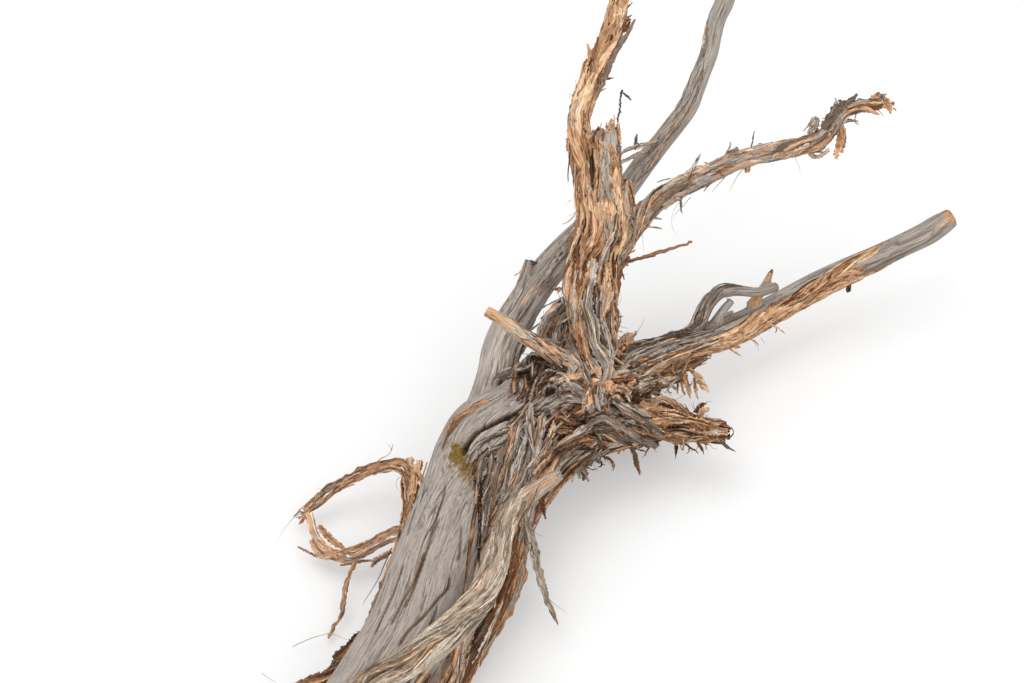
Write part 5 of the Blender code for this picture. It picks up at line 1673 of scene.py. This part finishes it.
def build_ribbons(material, seed):
    """Strips of bark that hang loose: the two loops, the rags, flakes and slivers."""
    random = np.random.default_rng(seed)
    lines, wides, tones, thicks = [], [], [], []
    for tone, thick, rows in RIBBONS:
        for line, wide, shade, deep in strands(random, rows, tone, thick):
            lines.append(line)
            wides.append(wide)
            tones.append(shade)
            thicks.append(deep)
    line, wide, tone, thick = map(np.array, (lines, wides, tones, thicks))
    count = len(line)
    line = line + 0.25 * MM * random.standard_normal(line.shape)
    along = unit(np.gradient(line, axis=1))
    face = unit(CREST + random.normal(0, 0.35, (count, 1, 3)) + 0 * line)
    side = unit(np.cross(along, face))
    twist = random.normal(0, 0.5, (count, 1, 1)) * np.linspace(-1, 1, RIBBON_ROWS)[None, :, None]
    side = turned(side, along, twist)
    normal = np.cross(side, along)
    column = np.linspace(-1, 1, RIBBON_COLUMNS)[None, None, :, None]
    ragged = np.clip(1 + 0.22 * random.standard_normal((count, RIBBON_ROWS, 2)), 0.55, 1.5)
    half = np.where(column < 0, ragged[:, :, None, :1], ragged[:, :, None, 1:]) * wide[:, :, None, None] / 2
    top = line[:, :, None] + side[:, :, None] * half * column
    cup = random.normal(0.12, 0.2, (count, 1, 1, 1))
    ripple = 0.12 * random.standard_normal((count, 1, RIBBON_COLUMNS, 1))
    top = top + normal[:, :, None] * half * (cup * column**2 + ripple)
    grain = loose_grain(random, (half * column)[..., 0], run_along(line)[..., None])
    thick = np.minimum(thick[:, None], wide)[:, :, None] * (1 - 0.4 * column[..., 0] ** 2)
    normal = np.broadcast_to(normal[:, :, None], top.shape)
    shade = random.normal(0, 0.15, (count, 1, 1))
    return build_slabs("loose_ribbons", material, top, normal, thick, grain, one_tone(tone, top), shade)


HAIR_ROWS = 10
HAIR_SIDES = 5
HAIR_THICK = 0.55  # of the hairs that grow in fields, in millimetres


def grown_hairs(random):
    """Fine fibres that stand out of the torn bark, one field after another."""
    for name, count, runs, angles, lengths in HAIR_FIELDS:
        limb = LIMB[name]
        run = random.uniform(*runs, count) * limb.length
        start, body = settle(limb.place(run, np.radians(random.uniform(*angles, count))), 2)
        along = limb.read(limb.along, run) * random.choice([-1, 1], (count, 1))
        heading = along + body.out * random.uniform(0.2, 1.3, (count, 1))
        heading = unit(heading + random.normal(0, 0.3, (count, 3)))
        step = random.uniform(*lengths, (count, 1)) * MM / HAIR_ROWS
        bend = random.normal(0, 0.12, (count, 3)) - np.array([0, 0, 0.05])
        line = []
        for _ in range(HAIR_ROWS):
            line.append(start)
            start = start + heading * step
            heading = unit(heading + bend + random.normal(0, 0.06, (count, 3)))
        tone = random.uniform(0, 1, (count, 3)) * (0.9, 0.3, 0.7)
        yield np.stack(line, axis=1), np.full(count, HAIR_THICK), tone


def build_hairs(material, seed):
    """Every fine hair: those listed one by one, then the fields."""
    random = np.random.default_rng(seed)
    lines, thicks, tones = [], [], []
    for tone, thick, rows in HAIRS:
        lines.append(evenly(rows, HAIR_ROWS)[None])
        thicks.append([thick])
        tones.append([tone])
    for line, thick, tone in grown_hairs(random):
        lines.append(line)
        thicks.append(thick)
        tones.append(tone)
    line, thick, tone = map(np.concatenate, (lines, thicks, tones))
    count = len(line)
    line = line + 0.12 * MM * random.standard_normal(line.shape)
    along = unit(np.gradient(line, axis=1))
    across = unit(np.cross(along, CREST))
    second = np.cross(along, across)
    taper = np.array([*np.linspace(1, 0.4, HAIR_ROWS - 1), 0.02])[None, :, None, None]
    angle = np.linspace(0, 2 * math.pi, HAIR_SIDES, endpoint=False)[None, None, :, None]
    ring = across[:, :, None] * np.cos(angle) + second[:, :, None] * np.sin(angle)
    points = line[:, :, None] + ring * taper * thick[:, None, None, None] * MM / 2
    faces = grid_faces(HAIR_ROWS, HAIR_SIDES, loop=True)
    each = HAIR_ROWS * HAIR_SIDES
    faces = (faces[None] + (np.arange(count) * each)[:, None, None]).reshape(-1, 4)
    points = points.reshape(-1, 3)
    points[:, 2] = np.maximum(points[:, 2], GROUND)
    mesh = new_mesh("bark_hairs", points, faces)
    paint(mesh, "cover", "FLOAT_COLOR", "POINT", one_tone(tone, ring).reshape(-1, 4))
    paint(mesh, "grain", "FLOAT_VECTOR", "POINT", points)
    paint(mesh, "shade", "FLOAT", "POINT", np.zeros(len(points)))
    mesh.shade_smooth()
    return add_piece("bark_hairs", mesh, material)


# Colours from dark to pale, each with its place from 0 to 1.
GREY_WOOD = (
    (0.0, (0.12, 0.095, 0.076)), (0.3, (0.27, 0.233, 0.202)), (0.5, (0.36, 0.318, 0.282)),
    (0.75, (0.46, 0.412, 0.368)), (1.0, (0.66, 0.60, 0.545)),
)
BARK = (
    (0.0, (0.08, 0.028, 0.009)), (0.25, (0.32, 0.15, 0.068)), (0.5, (0.58, 0.32, 0.172)),
    (0.75, (0.75, 0.46, 0.265)), (1.0, (0.86, 0.63, 0.42)),
)
CREAM_WOOD = (
    (0.0, (0.15, 0.095, 0.055)), (0.35, (0.40, 0.295, 0.20)), (0.65, (0.60, 0.48, 0.345)),
    (1.0, (0.82, 0.72, 0.58)),
)
# Dark places: a weathered stain that is partly painted shade, and near-black painted shade for crevices,
# cracks and hollows.
CREVICE_SHADE = (0.022, 0.013, 0.008)
STAIN_AND_SHADE = (0.44, 0.325, 0.25)
MOSS_COLOURS = ((0.35, (0.035, 0.027, 0.008)), (0.5, (0.14, 0.074, 0.006)), (0.68, (0.26, 0.145, 0.012)))


class Shader:
    """Short ways to add and join the nodes of one material."""

    def __init__(self, name):
        self.material = bpy.data.materials.new(name)
        self.material.use_nodes = True
        self.nodes = self.material.node_tree.nodes
        self.links = self.material.node_tree.links
        self.surface = self.nodes["Principled BSDF"]

    def add(self, kind, inputs=(), **settings):
        """A node with these settings, and values or joins for its inputs."""
        node = self.nodes.new(kind)
        for setting, value in settings.items():
            setattr(node, setting, value)
        for place, value in dict(inputs).items():
            self.feed(node.inputs[place], value)
        return node

    def feed(self, socket, value):
        """Joins another node's output to the socket, or sets the socket's own value."""
        if isinstance(value, bpy.types.NodeSocket):
            self.links.new(value, socket)
        elif isinstance(value, tuple) and len(value) == 3 and socket.type == "RGBA":
            socket.default_value = (*value, 1.0)
        else:
            socket.default_value = value

    def math(self, operation, *values, clamp=False):
        return self.add("ShaderNodeMath", enumerate(values), operation=operation, use_clamp=clamp).outputs[0]

    def swing(self, value, gain):
        """How far a noise is above its middle, times the gain."""
        return self.math("MULTIPLY", self.math("SUBTRACT", value, 0.5), gain)

    def distance(self, value):
        """How far a noise is from its middle, above or below."""
        return self.math("ABSOLUTE", self.math("SUBTRACT", value, 0.5))

    def spread(self, value, low, high, to_low=0.0, to_high=1.0):
        """The value read off a straight line from (low, to_low) to (high, to_high), flat beyond."""
        places = {"Value": value, "From Min": low, "From Max": high, "To Min": to_low, "To Max": to_high}
        return self.add("ShaderNodeMapRange", places).outputs[0]

    def streaks(self, grain, across, along, detail=3.0, roughness=0.55, distortion=0.0):
        """Noise drawn out along the grain; the two sizes are in millimetres."""
        size = (1 / (across * MM), 1 / (across * MM), 1 / (along * MM))
        scaled = self.add("ShaderNodeVectorMath", {0: grain, 1: size}, operation="MULTIPLY").outputs[0]
        places = {"Vector": scaled, "Scale": 1.0, "Detail": detail}
        places |= {"Roughness": roughness, "Distortion": distortion}
        return self.add("ShaderNodeTexNoise", places).outputs["Fac"]

    def colours(self, value, stops):
        """The colour at the value's place among the stops."""
        node = self.add("ShaderNodeValToRGB", {"Fac": value})
        marks = node.color_ramp.elements
        while len(marks) < len(stops):
            marks.new(0.5)
        for mark, (place, colour) in zip(marks, stops):
            mark.position = place
            mark.color = (*colour, 1.0)
        return node.outputs[0]

    def mix(self, share, first, second, blend="MIX"):
        """The first colour with this share of the second."""
        node = self.add("ShaderNodeMix", data_type="RGBA", blend_type=blend)
        self.feed(node.inputs[0], share)
        self.feed(node.inputs[6], first)
        self.feed(node.inputs[7], second)
        return node.outputs[2]


SKIN_LOOK = dict(across=1.2, along=32, relief_depth=0.9, contrast=0.16, cut=0.3, split=0.6)
SHREDS_LOOK = dict(across=1.5, along=12, relief_depth=1.6, contrast=0.12, cut=0.38, split=0.0)


def wood_material(name, across, along, relief_depth, contrast, cut, split):
    """Dry weathered wood and bark. The mesh says where bark, cream wood, dark places and moss are; the dark
    is partly weathered stain and partly painted shade in crevices.

    Across and along are the sizes of the grain and relief_depth its depth, in millimetres. Cut is how
    dark its lines are, and split how dark its long drying cracks are.
    """
    shader = Shader(name)
    grain = shader.add("ShaderNodeAttribute", attribute_name="grain").outputs["Vector"]
    shown = shader.add("ShaderNodeAttribute", attribute_name="cover")
    shade = shader.add("ShaderNodeAttribute", attribute_name="shade").outputs["Fac"]
    masks = shader.add("ShaderNodeSeparateColor", {"Color": shown.outputs["Color"]})
    bark, cream, dark = masks.outputs
    fine = shader.streaks(grain, across * 0.5, along * 0.7, detail=3.0, roughness=0.7, distortion=0.15)
    middle = shader.streaks(grain, across * 1.2, along, detail=5.0, roughness=0.7, distortion=0.5)
    broad = shader.streaks(grain, across * 4, along * 2.2, detail=3.0)
    crumbs = shader.streaks(grain, 1.3, 3.2, detail=3.0, roughness=0.65, distortion=0.4)
    weave = shader.streaks(grain, across * 1.4, along * 1.2, detail=2.0, distortion=0.3)
    tone = shader.math("ADD", shader.math("MULTIPLY", middle, 0.55), shader.math("MULTIPLY", broad, 0.25))
    tone = shader.math("ADD", tone, shader.math("MULTIPLY", crumbs, 0.2))
    tone = shader.math("ADD", shader.spread(tone, 0.5 - contrast, 0.5 + contrast), shade)
    edge = shader.swing(middle, 1.5)
    barky = shader.spread(shader.math("ADD", bark, edge), 0.30, 0.58)
    creamy = shader.spread(shader.math("ADD", cream, edge), 0.32, 0.62)
    colour = shader.mix(barky, shader.colours(tone, GREY_WOOD), shader.colours(tone, BARK))
    colour = shader.mix(creamy, colour, shader.mix(0.5, colour, shader.colours(tone, CREAM_WOOD)))
    lines = shader.spread(fine, 0.36, 0.60, 1 - cut, 1 + 0.4 * cut)
    crack = shader.spread(shader.distance(weave), 0.004, 0.02, 1.0, 0.0)
    crack = shader.math("MULTIPLY", crack, shader.spread(broad, 0.46, 0.56))
    lines = shader.math("MULTIPLY", lines, shader.math("SUBTRACT", 1.0, shader.math("MULTIPLY", crack, 0.6)))
    drying = shader.streaks(grain, 8, 190, detail=2.0, distortion=0.2)
    drying = shader.spread(shader.distance(drying), 0.006, 0.022, split, 0.0)
    drying = shader.math("MULTIPLY", drying, shader.spread(broad, 0.45, 0.56))
    lines = shader.math("MULTIPLY", lines, shader.math("SUBTRACT", 1.0, drying))
    grey = shader.add("ShaderNodeCombineColor", {k: lines for k in range(3)}).outputs[0]
    colour = shader.mix(1.0, colour, grey, "MULTIPLY")
    # The dark mask, weathered stain and painted shade: it darkens through the stain tint to near-black
    # crevice shade.
    depth = shader.math("ADD", dark, shader.math("MULTIPLY", edge, 0.9))
    depth = shader.math("ADD", depth, shader.swing(crumbs, 0.7))
    stained_and_shaded = shader.mix(1.0, colour, STAIN_AND_SHADE, "MULTIPLY")
    colour = shader.mix(shader.spread(depth, 0.12, 0.5), colour, stained_and_shaded)
    colour = shader.mix(shader.spread(depth, 0.5, 1.0), colour, CREVICE_SHADE)
    mossy = shader.math("ADD", shown.outputs["Alpha"], shader.swing(crumbs, 2.0))
    mossy = shader.spread(mossy, 0.12, 0.7, 0.0, 0.96)
    colour = shader.mix(mossy, colour, shader.colours(crumbs, MOSS_COLOURS))
    shader.feed(shader.surface.inputs["Base Color"], colour)
    shader.feed(shader.surface.inputs["Roughness"], shader.spread(middle, 0.3, 0.7, 0.95, 0.78))
    shader.surface.inputs["Specular IOR Level"].default_value = 0.2
    height = shader.math("ADD", shader.math("MULTIPLY", middle, 0.6), shader.math("MULTIPLY", fine, 0.4))
    height = shader.math("ADD", height, shader.math("MULTIPLY", crumbs, 0.4))
    height = shader.math("SUBTRACT", height, shader.math("MULTIPLY", crack, 0.4))
    bump = shader.add("ShaderNodeBump", {"Height": height, "Strength": 1.0, "Distance": relief_depth * MM})
    shader.feed(shader.surface.inputs["Normal"], bump.outputs[0])
    return shader.material


FLOOR_REACH = 6
FLOOR_DROP = 0.3 * MM  # keeps the floor just clear of the wood's flat underside
FLOOR_GREY = (0.56, 0.56, 0.56, 1.0)
WHITE = (1.0, 1.0, 1.0, 1.0)
FLOOR_GLOW = 0.24
WORLD_STRENGTH = 1.1

# Lamps: name, place, what it looks at, width and power.
LIGHTS = [
    ("key", (-0.8, 0.4, 2.3), (0, 0, 0), 2.0, 22),
    ("fill", (1.3, -1.1, 1.5), (0, 0, 0.05), 2.0, 13),
]


def floor_material():
    """Pale grey sheet that glows a little of itself."""
    shader = Shader("studio_floor")
    shader.surface.inputs["Base Color"].default_value = FLOOR_GREY
    shader.surface.inputs["Emission Color"].default_value = WHITE
    shader.surface.inputs["Emission Strength"].default_value = FLOOR_GLOW
    shader.surface.inputs["Roughness"].default_value = 0.9
    shader.surface.inputs["Specular IOR Level"].default_value = 0.0
    return shader.material


def build_stage():
    """The floor, which isn't part of the driftwood."""
    corners = np.array([(-1, -1, 0), (1, -1, 0), (1, 1, 0), (-1, 1, 0)]) * FLOOR_REACH - (0, 0, FLOOR_DROP)
    floor = bpy.data.objects.new("floor", new_mesh("floor", corners, np.array([[0, 1, 2, 3]])))
    floor.data.materials.append(floor_material())
    bpy.context.collection.objects.link(floor)
    floor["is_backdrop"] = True


def area_light(name, place, target, size, power):
    """A round lamp at a place, turned to the target."""
    light = bpy.data.lights.new(name, "AREA")
    light.shape = "DISK"
    light.size = size
    light.energy = power
    lamp = bpy.data.objects.new(name, light)
    lamp.location = place
    lamp.rotation_euler = look(place, target)
    bpy.context.collection.objects.link(lamp)


def look(place, target):
    """Turn of a lamp or camera at a place, so that it looks at the target."""
    return (Vector(target) - Vector(place)).to_track_quat("-Z", "Y").to_euler()


CAMERA_TARGET = np.array([-0.114, 0.059, 0.08])
CAMERA_RISE = math.radians(50)
CAMERA_DISTANCE = 2.176
CAMERA_LENS = 85
SENSOR_WIDTH = 36
CAMERA_REACH = 50


def build_camera():
    data = bpy.data.cameras.new("camera")
    data.lens = CAMERA_LENS
    data.sensor_width = SENSOR_WIDTH
    data.clip_end = CAMERA_REACH
    camera = bpy.data.objects.new("camera", data)
    back = np.array([0, -math.cos(CAMERA_RISE), math.sin(CAMERA_RISE)])
    camera.location = CAMERA_TARGET + back * CAMERA_DISTANCE
    camera.rotation_euler = look(camera.location, CAMERA_TARGET)
    bpy.context.collection.objects.link(camera)
    bpy.context.scene.camera = camera


def build_light():
    world = bpy.data.worlds.new("studio")
    world.use_nodes = True
    background = world.node_tree.nodes["Background"]
    background.inputs["Color"].default_value = WHITE
    background.inputs["Strength"].default_value = WORLD_STRENGTH
    bpy.context.scene.world = world
    for name, place, target, size, power in LIGHTS:
        area_light(name, place, target, size, power)
    bpy.context.scene.view_settings.view_transform = "Standard"


def main():
    build_camera()
    build_light()
    build_stage()
    build_skin(wood_material("weathered_skin", **SKIN_LOOK))
    shreds = wood_material("shredded_bark", **SHREDS_LOOK)
    build_curls(shreds, seed=12)
    build_ribbons(shreds, seed=13)
    build_hairs(shreds, seed=14)
    grids = build_coats(shreds, (grow_shreds(seed=11), grow_ropes(seed=15)))
    build_fibres(shreds, grids, seed=16)


main()
VISUAL_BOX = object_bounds()
[[list(map(float, corner)) for corner in box] for box in (CAD_BOX, VISUAL_BOX)]
